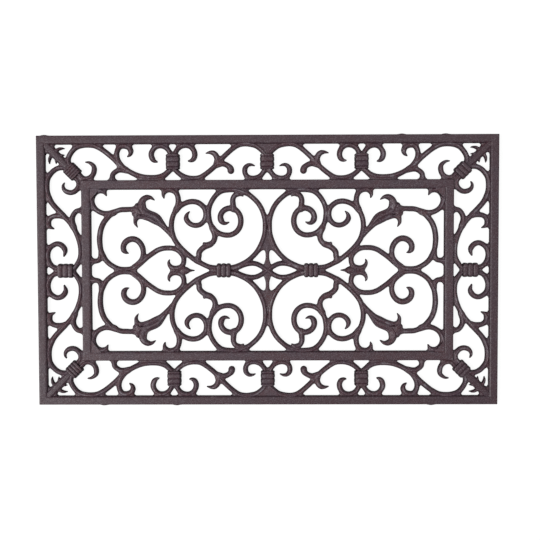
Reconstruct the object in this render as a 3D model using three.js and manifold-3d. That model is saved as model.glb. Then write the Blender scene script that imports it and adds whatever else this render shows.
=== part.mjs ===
// Cast iron door mat: a flat openwork grating with an outer frame, an inner frame and scrollwork.
// Units are millimetres. +X runs along the mat's length, +Y across it and +Z up.
// The origin is the middle of the surface that the mat lies on.

import * as THREE from 'three';
import { mergeVertices } from 'three/addons/utils/BufferGeometryUtils.js';
import Module from 'manifold-3d';

const wasm = await Module();
wasm.setup();

// Overall size and the two frames.
const matLength = 720;
const matWidth = 421.85;
const outerRailWidth = 13.75;
const borderWidth = 55.75;
const innerRailWidth = 14.5;
const railHeight = 8.5;
const railEdge = 1.4;
const railBevelRun = 2.6;
const railBevelDrop = 2.2;

// Scroll bars: width at the foot, height, and how far each flank slopes in below the flat ridge.
const scrollWidth = 7.8;
const scrollHeight = 7.6;
const flankRun = 2.3;
const leastRidgeShare = 0.35;
const tipWidth = 1.3;
const tipHeightShare = 0.6;
const tipSwell = 0.75;

// Collars, ribbed across the two bars that each one clasps.
const collarLength = 24;
const cornerCollarLength = 21;
const sideCollarLength = 25;
const panelCollarLength = 23;
const collarWall = 2.9;
const collarHeight = 10;
const collarRibDepth = 1;
const collarRibCount = 3;
const cornerRibDepth = 0.7;
const cornerRibCount = 5;
const collarFlank = 2.2;

// Sunk plates, foot pads and the casting's gate stubs.
const spindleHeight = 5.5;
const webHeight = 4.5;
const webHalfWidth = 14;
const webDepth = 17;
const padRadius = 5.5;
const padHeight = 2.5;
const padEdge = 0.6;
const padInset = 36;
const padSides = 12;
const stubLength = 13;
const stubStandOff = 1.2;
const stubHeight = 4.5;

// Room left between two members that lie against each other.
const clearance = 0.3;

// Fineness of the faceted bars.
const chordError = 0.88;
const sharpestTurn = THREE.MathUtils.degToRad(50);
const sampleStep = 0.6;

const ironColour = 0x4a4042;
const rubberColour = 0x1c1b1b;

// The frames' edges, measured out from the middle of the mat along each axis.
function frameEdges(halfSize) {
  const outerInside = halfSize - outerRailWidth;
  const innerOutside = outerInside - borderWidth;
  return { outside: halfSize, outerInside, innerOutside, innerInside: innerOutside - innerRailWidth };
}

const edgeX = frameEdges(matLength / 2);
const edgeY = frameEdges(matWidth / 2);

// The scrollwork is drawn on a mat of 720 by 420 mm whose frames have the edges below.
// place() moves a drawn point so that it keeps its place between the real frames' edges.
const drawnX = [0, 276, 290.5, 346.25, 360];
const drawnY = [0, 126, 140.5, 196.25, 210];
const realX = [0, edgeX.innerInside, edgeX.innerOutside, edgeX.outerInside, edgeX.outside];
const realY = [0, edgeY.innerInside, edgeY.innerOutside, edgeY.outerInside, edgeY.outside];

function alongAxis(value, drawn, real) {
  const size = Math.abs(value);
  let cell = 0;
  while (cell < drawn.length - 2 && size > drawn[cell + 1]) {
    cell += 1;
  }
  const share = (size - drawn[cell]) / (drawn[cell + 1] - drawn[cell]);
  return Math.sign(value) * (real[cell] + share * (real[cell + 1] - real[cell]));
}

// A knot of a stroke: where its middle line passes, and its width as a multiple of the scroll width.
function place([x, y, width = 1]) {
  return new THREE.Vector3(alongAxis(x, drawnX, realX), alongAxis(y, drawnY, realY), width * scrollWidth);
}

function knots(...points) {
  return points.map(place);
}

// A knot close to the long axis. On a wider mat it keeps its distance from the axis, as the collars do.
function placeNearAxis([x, y, width]) {
  const knot = place([x, y, width]);
  knot.y = Math.sign(y) * Math.min(Math.abs(y), Math.abs(knot.y));
  return knot;
}

// Where the collars, the rosette's tips and the ends of its sunk webs are drawn.
const drawnAt = {
  borderCollar: [147.2, 169],
  centreCollar: [0, 169],
  sideCollar: [317, 0],
  panelCollar: [68.5, 0],
  cornerCollar: [304.5, 154.5],
  petalTip: [56, 2.6],
  webTip: [0, 62],
  webShoulder: [0, 31.8],
};

// Collars of the quarter with +X and +Y: middle, direction of the clasped bars, length and ribs.
const pairOffset = (scrollWidth + clearance) / 2;
const broadRibs = { count: collarRibCount, depth: collarRibDepth };
const fineRibs = { count: cornerRibCount, depth: cornerRibDepth };

function collarAt(spot, turn, length, ribs = broadRibs) {
  return { at: place(spot), turn, length, ribs };
}

const borderCollar = collarAt(drawnAt.borderCollar, Math.PI / 2, collarLength);
const centreCollar = collarAt(drawnAt.centreCollar, Math.PI / 2, collarLength);
const sideCollar = collarAt(drawnAt.sideCollar, 0, sideCollarLength);
const panelCollar = collarAt(drawnAt.panelCollar, 0, panelCollarLength);
const cornerCollar = collarAt(drawnAt.cornerCollar, Math.PI / 4, cornerCollarLength, fineRibs);

// The two knots of a bar that passes straight through a collar. side is +1 for the bar on the left
// of the collar's direction, -1 for the one on its right. The knots run along the direction.
function through(collar, side) {
  const along = new THREE.Vector3(Math.cos(collar.turn), Math.sin(collar.turn), 0);
  const left = new THREE.Vector3(-along.y, along.x, 0);
  return [-0.5, 0.5].map((end) => {
    const knot = collar.at.clone().addScaledVector(along, end * collar.length);
    return knot.addScaledVector(left, side * pairOffset);
  });
}

function backThrough(collar, side) {
  return through(collar, side).reverse();
}

// Closes a row of rings, each with the same number of points, into one solid's surface.
function loft(rings) {
  const sides = rings[0].length;
  const positions = rings.flat().flatMap((point) => [point.x, point.y, point.z]);
  const index = [];
  for (let ring = 0; ring < rings.length - 1; ring += 1) {
    for (let side = 0; side < sides; side += 1) {
      const a = ring * sides + side;
      const b = ring * sides + ((side + 1) % sides);
      index.push(a, b, b + sides, a, b + sides, a + sides);
    }
  }
  const last = (rings.length - 1) * sides;
  for (let side = 1; side < sides - 1; side += 1) {
    index.push(0, side + 1, side);
    index.push(last, last + side, last + side + 1);
  }
  const geometry = new THREE.BufferGeometry();
  geometry.setAttribute('position', new THREE.Float32BufferAttribute(positions, 3));
  geometry.setIndex(index);
  return geometry;
}

function solidOf(geometry) {
  const bare = geometry.clone();
  bare.deleteAttribute('normal');
  bare.deleteAttribute('uv');
  const merged = mergeVertices(bare);
  const mesh = new wasm.Mesh({
    numProp: 3,
    vertProperties: new Float32Array(merged.attributes.position.array),
    triVerts: new Uint32Array(merged.index.array),
  });
  return new wasm.Manifold(mesh);
}

function geometryOf(solid) {
  const mesh = solid.getMesh();
  const geometry = new THREE.BufferGeometry();
  geometry.setAttribute('position', new THREE.BufferAttribute(new Float32Array(mesh.vertProperties), 3));
  geometry.setIndex(new THREE.BufferAttribute(new Uint32Array(mesh.triVerts), 1));
  geometry.computeVertexNormals();
  return geometry;
}

function join(solids) {
  return solids.reduce((whole, solid) => whole.add(solid));
}

function cut(solid, tools) {
  return tools.reduce((rest, tool) => rest.subtract(tool), solid);
}

// How a stroke ends: cut off square inside its neighbour, rounded like a knob, or drawn out to a point.
const plain = { kind: 'plain' };
const round = { kind: 'round' };

// The length of a point is given as a multiple of the scroll width.
function pointed(widths) {
  return { kind: 'pointed', length: widths * scrollWidth };
}

// A smooth line through the knots, sampled closely. The knots' third coordinate is the bar's width.
function sampleLine(line) {
  const curve = new THREE.CatmullRomCurve3(line, false, 'centripetal');
  const pieces = line.length - 1;
  const points = [];
  for (let piece = 0; piece < pieces; piece += 1) {
    const steps = Math.ceil(line[piece].distanceTo(line[piece + 1]) / sampleStep);
    for (let step = 0; step < steps; step += 1) {
      points.push(curve.getPoint((piece + step / steps) / pieces));
    }
  }
  points.push(line[pieces].clone());
  return points.map((point, spot) => {
    const before = points[Math.max(0, spot - 1)];
    const after = points[Math.min(points.length - 1, spot + 1)];
    const heading = Math.atan2(after.y - before.y, after.x - before.x);
    return { x: point.x, y: point.y, width: point.z, heading };
  });
}

function distance(a, b) {
  return Math.hypot(a.x - b.x, a.y - b.y);
}

// Narrows the beginning of a row of samples as its end asks.
function shapeEnd(samples, end) {
  const radius = samples[0].width / 2;
  const tipShare = tipWidth / scrollWidth;
  let travelled = 0;
  samples.forEach((sample, spot) => {
    travelled += spot > 0 ? distance(sample, samples[spot - 1]) : 0;
    if (end.kind === 'pointed' && travelled < end.length) {
      sample.width *= tipShare + (1 - tipShare) * (travelled / end.length) ** tipSwell;
    }
    if (end.kind === 'round' && travelled < radius) {
      sample.width = Math.max(tipWidth, 2 * Math.sqrt(radius ** 2 - (radius - travelled) ** 2));
    }
  });
}

function turnBetween(a, b) {
  const turn = Math.abs(a.heading - b.heading) % (2 * Math.PI);
  return Math.min(turn, 2 * Math.PI - turn);
}

// True where one straight facet from one sample to another keeps to the bar's two edges.
function facetHolds(samples, from, to) {
  const start = samples[from];
  const end = samples[to];
  if (turnBetween(start, end) > sharpestTurn) {
    return false;
  }
  for (let middle = from + 1; middle < to; middle += 1) {
    const share = (middle - from) / (to - from);
    const x = THREE.MathUtils.lerp(start.x, end.x, share);
    const y = THREE.MathUtils.lerp(start.y, end.y, share);
    const width = THREE.MathUtils.lerp(start.width, end.width, share);
    const drift = distance(samples[middle], { x, y }) + Math.abs(samples[middle].width - width) / 2;
    if (drift > chordError) {
      return false;
    }
  }
  return true;
}

// Keeps only the samples that the bar's shape needs.
function thinOut(samples) {
  const kept = [samples[0]];
  let from = 0;
  while (from < samples.length - 1) {
    let to = from + 1;
    while (to < samples.length - 1 && facetHolds(samples, from, to + 1)) {
      to += 1;
    }
    kept.push(samples[to]);
    from = to;
  }
  return kept;
}

// The bar's section: a flat foot, two sloping flanks and a flat ridge, lower where the bar is narrow.
function barSection(station, height, grow, shift) {
  const fullness = Math.min(1, station.width / scrollWidth);
  const top = height * (tipHeightShare + (1 - tipHeightShare) * fullness) + grow;
  const foot = station.width / 2 + grow;
  const ridge = Math.max(station.width * leastRidgeShare, station.width - 2 * flankRun) / 2 + grow;
  const along = new THREE.Vector3(Math.cos(station.heading), Math.sin(station.heading), 0);
  const left = new THREE.Vector3(-along.y, along.x, 0);
  const middle = new THREE.Vector3(station.x, station.y, 0).addScaledVector(along, shift);
  const corner = (across, up) => middle.clone().addScaledVector(left, across).setZ(up);
  return [corner(ridge, top), corner(-ridge, top), corner(-foot, -grow), corner(foot, -grow)];
}

// One stroke of the scrollwork: a bar that follows its knots. grow makes it larger all round.
function strokeSolid({ line, start = plain, end = plain, height = scrollHeight }, grow = 0) {
  const samples = sampleLine(line);
  shapeEnd(samples, start);
  samples.reverse();
  shapeEnd(samples, end);
  samples.reverse();
  const stations = thinOut(samples);
  const last = stations.length - 1;
  const rings = stations.map((station, spot) => {
    const shift = (spot === last ? grow : 0) - (spot === 0 ? grow : 0);
    return barSection(station, height, grow, shift);
  });
  return solidOf(loft(rings));
}

function scroll(strokes, grow = 0) {
  return join(strokes.map((stroke) => strokeSolid(stroke, grow)));
}

// An upright block between two heights, used to trim members to the spaces between the frames.
const blockHeight = 3 * (collarHeight + clearance);

function block(lowX, lowY, highX, highY) {
  const geometry = new THREE.BoxGeometry(highX - lowX, highY - lowY, blockHeight);
  geometry.translate((lowX + highX) / 2, (lowY + highY) / 2, 0);
  return solidOf(geometry);
}

function centredBlock(halfX, halfY) {
  return block(-halfX, -halfY, halfX, halfY);
}

const quarterBlock = block(clearance / 2, clearance / 2, matLength, matWidth);
const insideOuterFrame = centredBlock(edgeX.outerInside - clearance, edgeY.outerInside - clearance);
const innerFrameBlock = centredBlock(edgeX.innerOutside + clearance, edgeY.innerOutside + clearance);
const insidePanel = centredBlock(edgeX.innerInside - clearance, edgeY.innerInside - clearance);

function trimToBorder(solid) {
  return solid.intersect(insideOuterFrame).subtract(innerFrameBlock);
}

function trimToPanel(solid) {
  return solid.intersect(insidePanel);
}

// Mirrors a solid across the mat's middle planes, for the other three quarters.
function mirrored(solid, signX, signY) {
  if (signX > 0 && signY > 0) {
    return solid;
  }
  const geometry = geometryOf(solid);
  const index = geometry.index.array;
  if (signX * signY < 0) {
    for (let corner = 0; corner < index.length; corner += 3) {
      [index[corner], index[corner + 1]] = [index[corner + 1], index[corner]];
    }
  }
  const position = geometry.attributes.position;
  for (let vertex = 0; vertex < position.count; vertex += 1) {
    position.setX(vertex, position.getX(vertex) * signX);
    position.setY(vertex, position.getY(vertex) * signY);
  }
  return solidOf(geometry);
}

const quarters = {
  back_right: [1, 1],
  back_left: [-1, 1],
  front_right: [1, -1],
  front_left: [-1, -1],
};

// Corner border scroll: from a curl beside the corner collar over a wide arch to the border collar.
const cornerBorderScroll = [
  {
    line: [
      ...knots([284, 168.1], [279.5, 168.2], [275, 166.3], [271, 162], [270.2, 156.5], [271.8, 150]),
      ...knots([276.5, 144.8], [284, 142.7], [289.5, 144.8]),
      ...through(cornerCollar, 1),
      ...knots([310.7, 172], [308.7, 179], [300, 190], [288, 195], [272, 195], [258, 189]),
      ...knots([243, 178], [231.5, 166.6], [215, 154.8], [196, 146.6], [178, 144.8], [163, 148.8]),
      ...through(borderCollar, -1),
      ...knots([153.8, 186.7], [159.2, 191.8], [166, 193.9], [172.3, 192.6], [177.8, 188.2]),
      ...knots([180.4, 182.2], [179.9, 176.2], [176.6, 171.6], [171.5, 169.6]),
    ],
    start: pointed(2.6),
    end: pointed(1.2),
  },
  {
    line: [
      ...knots([229.5, 163], [234.2, 174], [235.2, 182.5], [233.2, 189.5], [229, 193.7], [222, 194.4, 1.12]),
      ...knots([215.6, 191.6, 1.1], [212.5, 186.5, 1.1], [213.4, 181, 1.1], [218.2, 176.7]),
    ],
    end: pointed(1.5),
  },
  { line: knots([222, 156], [232, 156.6], [237.8, 153.8], [241, 149.5], [241.9, 145], [241.9, 138]) },
];

// Centre border scroll: from the border collar along the inner frame and over an arch to the middle.
const centreBorderScroll = [
  {
    line: [
      ...knots([124.5, 170.3], [119.5, 170.7], [115.3, 173.2], [112.9, 178.2], [113.3, 184], [116, 189.3]),
      ...knots([121, 193], [127, 194.2], [134.5, 192.4], [140.4, 187.2]),
      ...backThrough(borderCollar, 1),
      ...knots([138.4, 151.2], [131.5, 147], [124, 144.4], [115, 143.3], [106, 144.3], [98, 148.3]),
      ...knots([84, 159.8], [73, 172], [60, 184], [52, 190.5], [44, 195], [35, 197], [26, 195.7]),
      ...knots([17.5, 193], [9, 187.3]),
      ...backThrough(centreCollar, -1),
      ...knots([7.6, 150.3], [11.6, 146.4], [17, 144], [22.5, 143.2], [28.5, 144.5], [33, 148.5]),
      ...knots([35, 154], [34, 159.5], [30, 163.5], [25, 164.5], [20, 162.5]),
    ],
    start: pointed(1.2),
    end: pointed(2.3),
  },
  {
    line: [
      ...knots([76.5, 165], [77.9, 173.5], [80.3, 179.2], [84.2, 182.5], [89.5, 183.5], [96, 181.5]),
    ],
    end: pointed(1.5),
  },
  { line: knots([78, 166.6], [67, 165], [61, 162.6], [57.4, 158.5, 1.25], [56.7, 149.2, 1.38]), end: round },
];

// Side border scroll: from a curl beside the corner collar down the short border to the side collar.
const sideBorderScroll = [
  {
    line: [
      ...knots([317.3, 137.2], [318.9, 133], [318.3, 128.5], [315, 124.5], [309, 122.3], [302.5, 123.5]),
      ...knots([297.2, 127.5], [294.5, 133], [295.2, 139]),
      ...through(cornerCollar, -1),
      ...knots([325, 160.5], [333, 157], [339, 151], [343.5, 143], [345, 133], [344.2, 123]),
      ...knots([341, 114.5], [336, 105.3], [322.5, 90.3], [308, 74], [301.2, 62.5], [296.5, 51], [293.7, 40]),
      ...knots([292.8, 30], [294.3, 20.5], [299, 11.4]),
      ...through(sideCollar, 1),
      ...knots([336.8, 6], [342, 11.5], [345.2, 20], [345.2, 27], [342.7, 34], [338, 39], [331, 42, 1.03]),
      ...knots([324, 40.6, 1.08], [318.8, 36.2, 1.15], [317, 30.8, 1.15], [320.4, 21.3]),
    ],
    start: pointed(2.2),
    end: pointed(1.7),
  },
  {
    line: [
      ...knots([322, 85.8], [329, 86.3], [336, 84.5], [341, 80.3], [342.9, 74], [340.8, 68.5], [334.2, 65.1]),
    ],
    end: pointed(1.5),
  },
  { line: knots([303.3, 69], [305.2, 77.5], [304.6, 84], [302, 89], [297.8, 92.7], [288, 93.6]) },
];

// Panel C scroll: the large C beside the centre line, closed by a spiral, with its crook at the frame,
// a curl on the outside, a branch from the foot and a small branch on the spiral.
const panelScroll = [
  {
    line: [
      ...knots([161, 112], [162, 118], [160, 122.5], [155, 125.5], [147, 124], [141.5, 119]),
      ...knots([139.3, 113], [139, 107], [140.5, 101], [144, 93], [148, 84], [150, 75], [150.3, 67]),
      ...knots([149, 58], [146, 48.4], [140.4, 39.2], [132.4, 31], [123, 23.3], [112.5, 16.6]),
      ...knots([102, 10.9], [91.5, 6]),
      ...backThrough(panelCollar, 1),
      ...knots([50, 5.3], [40.5, 9.4], [31, 14.9], [23, 21.6], [16.5, 29], [11, 37.2], [7, 46.5]),
      ...knots([4.2, 57], [3.5, 68], [3.7, 78], [6, 88], [9.5, 97], [15, 105.5], [22, 112.5]),
      ...knots([30, 118.5], [38, 122], [48, 125], [60, 126], [72, 123.5], [80, 117.5], [86, 110]),
      ...knots([90, 101.5], [92, 92], [91.6, 83], [89.2, 74.5], [85.2, 67], [80, 61.3], [73, 57]),
      ...knots([65, 55], [57, 55.4], [49.6, 59], [44.2, 65], [41.5, 72], [41.3, 80], [43.3, 87]),
      ...knots([47.5, 92.8], [53, 96.3, 1.05], [60, 96.9, 1.1], [66, 95, 1.12], [71.2, 90.3, 1.15]),
      ...knots([73.5, 84, 1.2]),
      ...knots([72.6, 77.8, 1.22], [69.2, 74, 1.12], [64.8, 73.3, 1.05], [59.8, 75.2]),
    ],
    start: pointed(1.4),
    end: pointed(2.2),
  },
  {
    line: [
      ...knots([141.5, 95], [136.6, 99.8], [130, 104], [123, 106.8], [116, 107.4], [109, 106], [103, 102.5]),
      ...knots([98, 97], [96, 90], [96.4, 83], [99.5, 76.5], [105, 72], [111.5, 70.4], [118, 71.5]),
      ...knots([123.6, 74.8, 1.05], [127.1, 80, 1.05], [127, 85.3, 1.05], [125, 89], [121.8, 92.2]),
    ],
    end: pointed(1.7),
  },
  {
    line: [
      ...knots([110, 17], [108, 22], [107.7, 28], [104.3, 33.5], [98, 37.6, 1.1], [91, 40, 1.1]),
      ...knots([85.6, 44.6, 1.05], [83, 50.5, 1.05], [83.4, 57, 1.08], [86.8, 65, 1.15]),
    ],
  },
  { line: knots([90, 41, 1.1], [96.5, 40.9, 0.75], [101.5, 42.8, 0.48]), end: round },
  {
    line: [
      ...knots([53, 95, 1.1], [53.8, 104, 1.15], [53.8, 110, 1.12], [51.8, 116], [47.5, 119], [42, 118.8]),
      ...knots([37.7, 115.2]),
    ],
    end: pointed(1.2),
  },
];

// Tulip leaf: a thick calyx with small knobs, an upper petal that curls over, a lower barb and a
// broad arm to the C scroll.
const tulipLeaf = [
  {
    line: [
      ...knots([205, 95, 1.6], [196, 90.8, 2], [186, 86.1, 2.1], [175.2, 81.3, 2.15], [166.6, 74.3, 1.5]),
      ...knots([159, 65.8, 1.05], [151, 57, 0.95]),
    ],
  },
  {
    line: [
      ...knots([200, 93, 1.8], [196.4, 102, 1.42], [193.8, 109, 1.32], [189, 113.7, 1.2], [183, 113.9]),
      ...knots([176.3, 109.5, 0.9]),
    ],
    end: pointed(1.7),
  },
  {
    line: [
      ...knots([203, 90, 1.7], [205, 83.5, 1.15], [206.6, 78, 0.82], [206.8, 73.8, 0.66], [203.3, 67.3, 0.6]),
    ],
    end: pointed(1),
  },
  { line: knots([200, 99, 1.2], [207.7, 103, 0.85]), end: round },
  { line: knots([203, 90, 1.2], [212, 86.6, 0.62]), end: round },
];

// Panel end scroll: a ring that ends in a curl, with a hook to the frame's corner and a foot.
const endScroll = [
  {
    line: [
      ...knots([207, 94.8], [214, 95.6], [222, 95.7], [229, 94.8], [236, 92.4], [243, 88.4], [250, 82.7]),
      ...knots([256, 75.5]),
      ...knots([260, 67], [262.3, 58], [263.1, 49], [262.8, 40], [261, 32], [257.8, 24.5], [253, 16.7]),
      ...knots([246.7, 10.5], [239.5, 5.5], [232, 2.4], [225, 1.5], [218, 2.1], [211, 4.8], [205, 8.9]),
      ...knots([200, 14.2], [196.5, 20], [195, 27], [195.5, 34], [198.3, 41.3, 1.05], [204, 47, 1.12]),
      ...knots([211, 49.1, 1.18], [218.3, 47.4, 1.2], [223.8, 43, 1.17], [226, 37, 1.12]),
      ...knots([225.2, 31.6, 1.08], [222.2, 28.4], [217.3, 26.7, 0.7]),
    ],
    end: pointed(1.2),
  },
  {
    line: [
      ...knots([241, 89.8], [250, 89.4], [256, 90], [262.5, 91.7], [269, 96], [273, 102.5], [274.5, 110]),
      ...knots([273, 117], [268, 122.3], [261, 124.4], [255, 122.5], [251.6, 116.3]),
    ],
    end: pointed(1.5),
  },
  { line: knots([280, 15], [270, 14.9], [265.2, 16.5], [262.6, 20.5], [262, 27, 0.7]) },
];

// Half of a heart scroll, above the long axis, and the arrow leaf on the axis.
const heartHalf = [
  {
    line: [
      ...knots([208.5, 5.2], [195, 14.7], [187, 20.7], [180, 26.1], [172, 31.4], [164, 34.7], [156, 35.7]),
      ...knots([149, 35], [142, 32.4], [136.4, 27.6], [132.4, 22], [131.2, 16], [132.5, 9.5], [136, 5.6]),
      ...knots([141, 3.6], [146, 3.4], [150.6, 5], [154, 9], [155, 13.3], [153.6, 17.2]),
    ],
    end: pointed(1.8),
  },
];
const arrowLeaf = [
  { line: knots([146, 0, 0.5], [136, 0, 0.9], [130.5, 0, 1.6], [122, 0, 0.62], [114.7, 0, 0.17]) },
];

// Centre rosette: two S petals that cross on the middle, and a spindle with a sunk web at each end.
const rosettePetals = [1, -1].map((side) => ({
  line: [-1, 1].flatMap((end) => {
    const half = [drawnAt.petalTip, [46, 5.4], [36, 9], [26, 10.9], [18, 10.3], [10, 6.8]];
    const ordered = end < 0 ? half : [[0, 0], ...half.reverse()];
    return ordered.map(([x, y]) => placeNearAxis([x * end, y * end * side]));
  }),
}));
const rosetteSpindle = [1, -1].map((end) => ({
  line: [[34.5, 2.6], [31.5, 1.6], [28.5, 0.95], [25, 0.73], [20.5, 0.66], [15.5, 0.85], [11, 1.25], [0, 1.6]]
    .map(([y, width]) => place([0, y * end, width])),
  height: spindleHeight,
}));

// Corner leaf: a broad stem on the corner's diagonal with a large and a small barb on each side.
const diagonalShift = edgeX.outside - edgeY.outside;

function acrossDiagonal(line) {
  return line.map(({ x, y, z }) => new THREE.Vector3(y + diagonalShift, x - diagonalShift, z));
}

const leafBarbs = [
  {
    line: [
      ...knots([335, 185.5, 1], [330, 187, 0.68], [325, 189.6, 0.64], [320.5, 190.5, 0.44]),
      ...knots([315.5, 190, 0.3]),
    ],
    end: pointed(0.6),
  },
  { line: knots([326, 178.5, 0.9], [321, 179.9, 0.45], [316, 180, 0.3]), end: pointed(0.5) },
];
const leafStem = [
  { line: knots([351, 201, 1.72], [330, 180, 1.72], [319, 169, 1.6], [309, 159, 1.2]) },
];
const cornerLeaf = [
  ...leafStem,
  ...leafBarbs,
  ...leafBarbs.map((barb) => ({ ...barb, line: acrossDiagonal(barb.line) })),
];

// The members of one quarter, each trimmed by the members that it lies against.
const grown = {
  corner: scroll(cornerBorderScroll, clearance),
  centre: scroll(centreBorderScroll, clearance),
  side: scroll(sideBorderScroll, clearance),
  panel: scroll(panelScroll, clearance),
  tulip: scroll(tulipLeaf, clearance),
  end: scroll(endScroll, clearance),
};
const quarterMembers = {
  corner_border_scroll: trimToBorder(scroll(cornerBorderScroll)),
  centre_border_scroll: cut(trimToBorder(scroll(centreBorderScroll)), [grown.corner]).intersect(quarterBlock),
  side_border_scroll: cut(trimToBorder(scroll(sideBorderScroll)), [grown.corner]).intersect(quarterBlock),
  panel_scroll: trimToPanel(scroll(panelScroll)).intersect(quarterBlock),
  tulip_leaf: cut(trimToPanel(scroll(tulipLeaf)), [grown.panel]),
  end_scroll: cut(trimToPanel(scroll(endScroll)), [grown.tulip, grown.panel]).intersect(quarterBlock),
};

// A collar: a ribbed saddle over the two bars that it clasps.
function collarSolid({ at, turn, length, ribs }, grow = 0) {
  const outer = pairOffset + scrollWidth / 2 + collarWall;
  const steps = 2 * ribs.count;
  const along = new THREE.Vector3(Math.cos(turn), Math.sin(turn), 0);
  const left = new THREE.Vector3(-along.y, along.x, 0);
  const rings = [];
  for (let step = 0; step <= steps; step += 1) {
    const sunk = step % 2 === 0 ? ribs.depth : 0;
    const half = outer - sunk + grow;
    const top = collarHeight - sunk + grow;
    const middle = at.clone().addScaledVector(along, (step / steps - 0.5) * length);
    const corner = (across, up) => middle.clone().addScaledVector(left, across).setZ(up);
    const crown = half - collarFlank;
    rings.push([corner(crown, top), corner(-crown, top), corner(-half, -grow), corner(half, -grow)]);
  }
  return solidOf(loft(rings));
}

// Both halves of what lies on a middle plane: the quarter's own solid and its mirror images.
function acrossX(solid) {
  return [solid, mirrored(solid, -1, 1)];
}

function acrossY(solid) {
  return [solid, mirrored(solid, 1, -1)];
}

function allQuarters(solid) {
  return Object.values(quarters).map(([signX, signY]) => mirrored(solid, signX, signY));
}

const collars = {
  corner: cut(collarSolid(cornerCollar), [grown.corner, grown.side]),
  border: cut(collarSolid(borderCollar), [grown.corner, grown.centre]),
  centre: cut(collarSolid(centreCollar), acrossX(grown.centre)),
  side: cut(collarSolid(sideCollar), acrossY(grown.side)),
  panel: cut(collarSolid(panelCollar), acrossY(grown.panel)),
};

quarterMembers.corner_collar = collars.corner;
quarterMembers.border_collar = collars.border;
quarterMembers.corner_leaf = cut(trimToBorder(scroll(cornerLeaf)), [
  grown.corner,
  grown.side,
  collarSolid(cornerCollar, clearance),
]);

// An upright plate with a triangular outline.
function plate(points) {
  const outline = new THREE.Shape(points.map(([x, y]) => new THREE.Vector2(x, y)));
  return solidOf(new THREE.ExtrudeGeometry(outline, { depth: webHeight, bevelEnabled: false }));
}

// The sunk plate that fills the gap between the two arches above the centre collar.
const webEdge = edgeY.outerInside;
const centreWeb = cut(
  trimToBorder(plate([[-webHalfWidth, webEdge], [0, webEdge - webDepth], [webHalfWidth, webEdge]])),
  [...acrossX(grown.centre), collarSolid(centreCollar, clearance)],
);

const webTip = place(drawnAt.webTip).y;
const webShoulder = place(drawnAt.webShoulder).y;
const spindleWebs = [1, -1].map((end) => {
  const corners = [[0, webTip * end], [-webHalfWidth * end, webShoulder * end]];
  return plate([...corners, [webHalfWidth * end, webShoulder * end]]);
});
const rosette = cut(
  join([...spindleWebs, scroll(rosettePetals), scroll(rosetteSpindle)]),
  [...allQuarters(grown.panel), ...acrossX(collarSolid(panelCollar, clearance))],
);

const heartScroll = cut(
  join([...acrossY(scroll(heartHalf)), scroll(arrowLeaf)]),
  [...acrossY(grown.end), ...acrossY(grown.panel)],
);

// One rail of a frame, along +X on the +Y side, mitred at both ends.
function railSolid(halfLong, halfShort, width) {
  const profile = [
    [0, 0],
    [0, railHeight - railEdge],
    [railEdge, railHeight],
    [width - railBevelRun, railHeight],
    [width, railHeight - railBevelDrop],
    [width, 0],
  ];
  const mitreGap = clearance / Math.SQRT2;
  const rings = [-1, 1].map((end) => profile.map(([inward, up]) => (
    new THREE.Vector3(end * (halfLong - inward - mitreGap), halfShort - inward, up)
  )));
  return solidOf(loft(rings));
}

// A gate stub: the low swelling that is left on a long rail's edge where the casting was fed.
function gateStub(x) {
  const half = stubLength / 2;
  const outline = new THREE.Shape();
  outline.moveTo(-half, -railEdge);
  outline.lineTo(half, -railEdge);
  outline.lineTo(half, 0);
  outline.quadraticCurveTo(0, 2 * stubStandOff, -half, 0);
  const swelling = { depth: stubHeight, bevelEnabled: false, curveSegments: 4 };
  const geometry = new THREE.ExtrudeGeometry(outline, swelling);
  geometry.translate(alongAxis(x, drawnX, realX), edgeY.outside, 0);
  return solidOf(geometry);
}

// Where the stubs lie, seen from above, on the back edge and on the front edge.
const backStubs = [-347, 209, 277];
const frontStubs = [-257, -143, 256];

const iron = { color: ironColour, roughness: 0.62, metalness: 0.35 };
const rubber = { color: rubberColour, roughness: 0.9, metalness: 0 };

function member(name, solid, finish) {
  const mesh = new THREE.Mesh(geometryOf(solid), new THREE.MeshStandardMaterial(finish));
  mesh.name = name;
  return mesh;
}

const longRail = railSolid(edgeX.outside, edgeY.outside, outerRailWidth);
const shortRail = railSolid(edgeY.outside, edgeX.outside, outerRailWidth);
const innerLongRail = railSolid(edgeX.innerOutside, edgeY.innerOutside, innerRailWidth);
const innerShortRail = railSolid(edgeY.innerOutside, edgeX.innerOutside, innerRailWidth);

const casting = new THREE.Group();
casting.position.z = padHeight;

function addRail(name, solid, quarterTurns) {
  const rail = member(name, solid, iron);
  rail.rotation.z = quarterTurns * Math.PI / 2;
  casting.add(rail);
}

addRail('outer_rail_back', join([longRail, ...backStubs.map(gateStub)]), 0);
addRail('outer_rail_left', shortRail, 1);
addRail('outer_rail_front', join([longRail, ...frontStubs.map((x) => gateStub(-x))]), 2);
addRail('outer_rail_right', shortRail, 3);
addRail('inner_rail_back', innerLongRail, 0);
addRail('inner_rail_left', innerShortRail, 1);
addRail('inner_rail_front', innerLongRail, 2);
addRail('inner_rail_right', innerShortRail, 3);

for (const [quarter, [signX, signY]] of Object.entries(quarters)) {
  for (const [name, solid] of Object.entries(quarterMembers)) {
    casting.add(member(`${name}_${quarter}`, mirrored(solid, signX, signY), iron));
  }
}

for (const [side, sign] of [['right', 1], ['left', -1]]) {
  casting.add(member(`side_collar_${side}`, mirrored(collars.side, sign, 1), iron));
  casting.add(member(`panel_collar_${side}`, mirrored(collars.panel, sign, 1), iron));
  casting.add(member(`heart_scroll_${side}`, mirrored(heartScroll, sign, 1), iron));
}

for (const [side, sign] of [['back', 1], ['front', -1]]) {
  casting.add(member(`centre_collar_${side}`, mirrored(collars.centre, 1, sign), iron));
  casting.add(member(`centre_web_${side}`, mirrored(centreWeb, 1, sign), iron));
}

casting.add(member('centre_rosette', rosette, iron));

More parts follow.
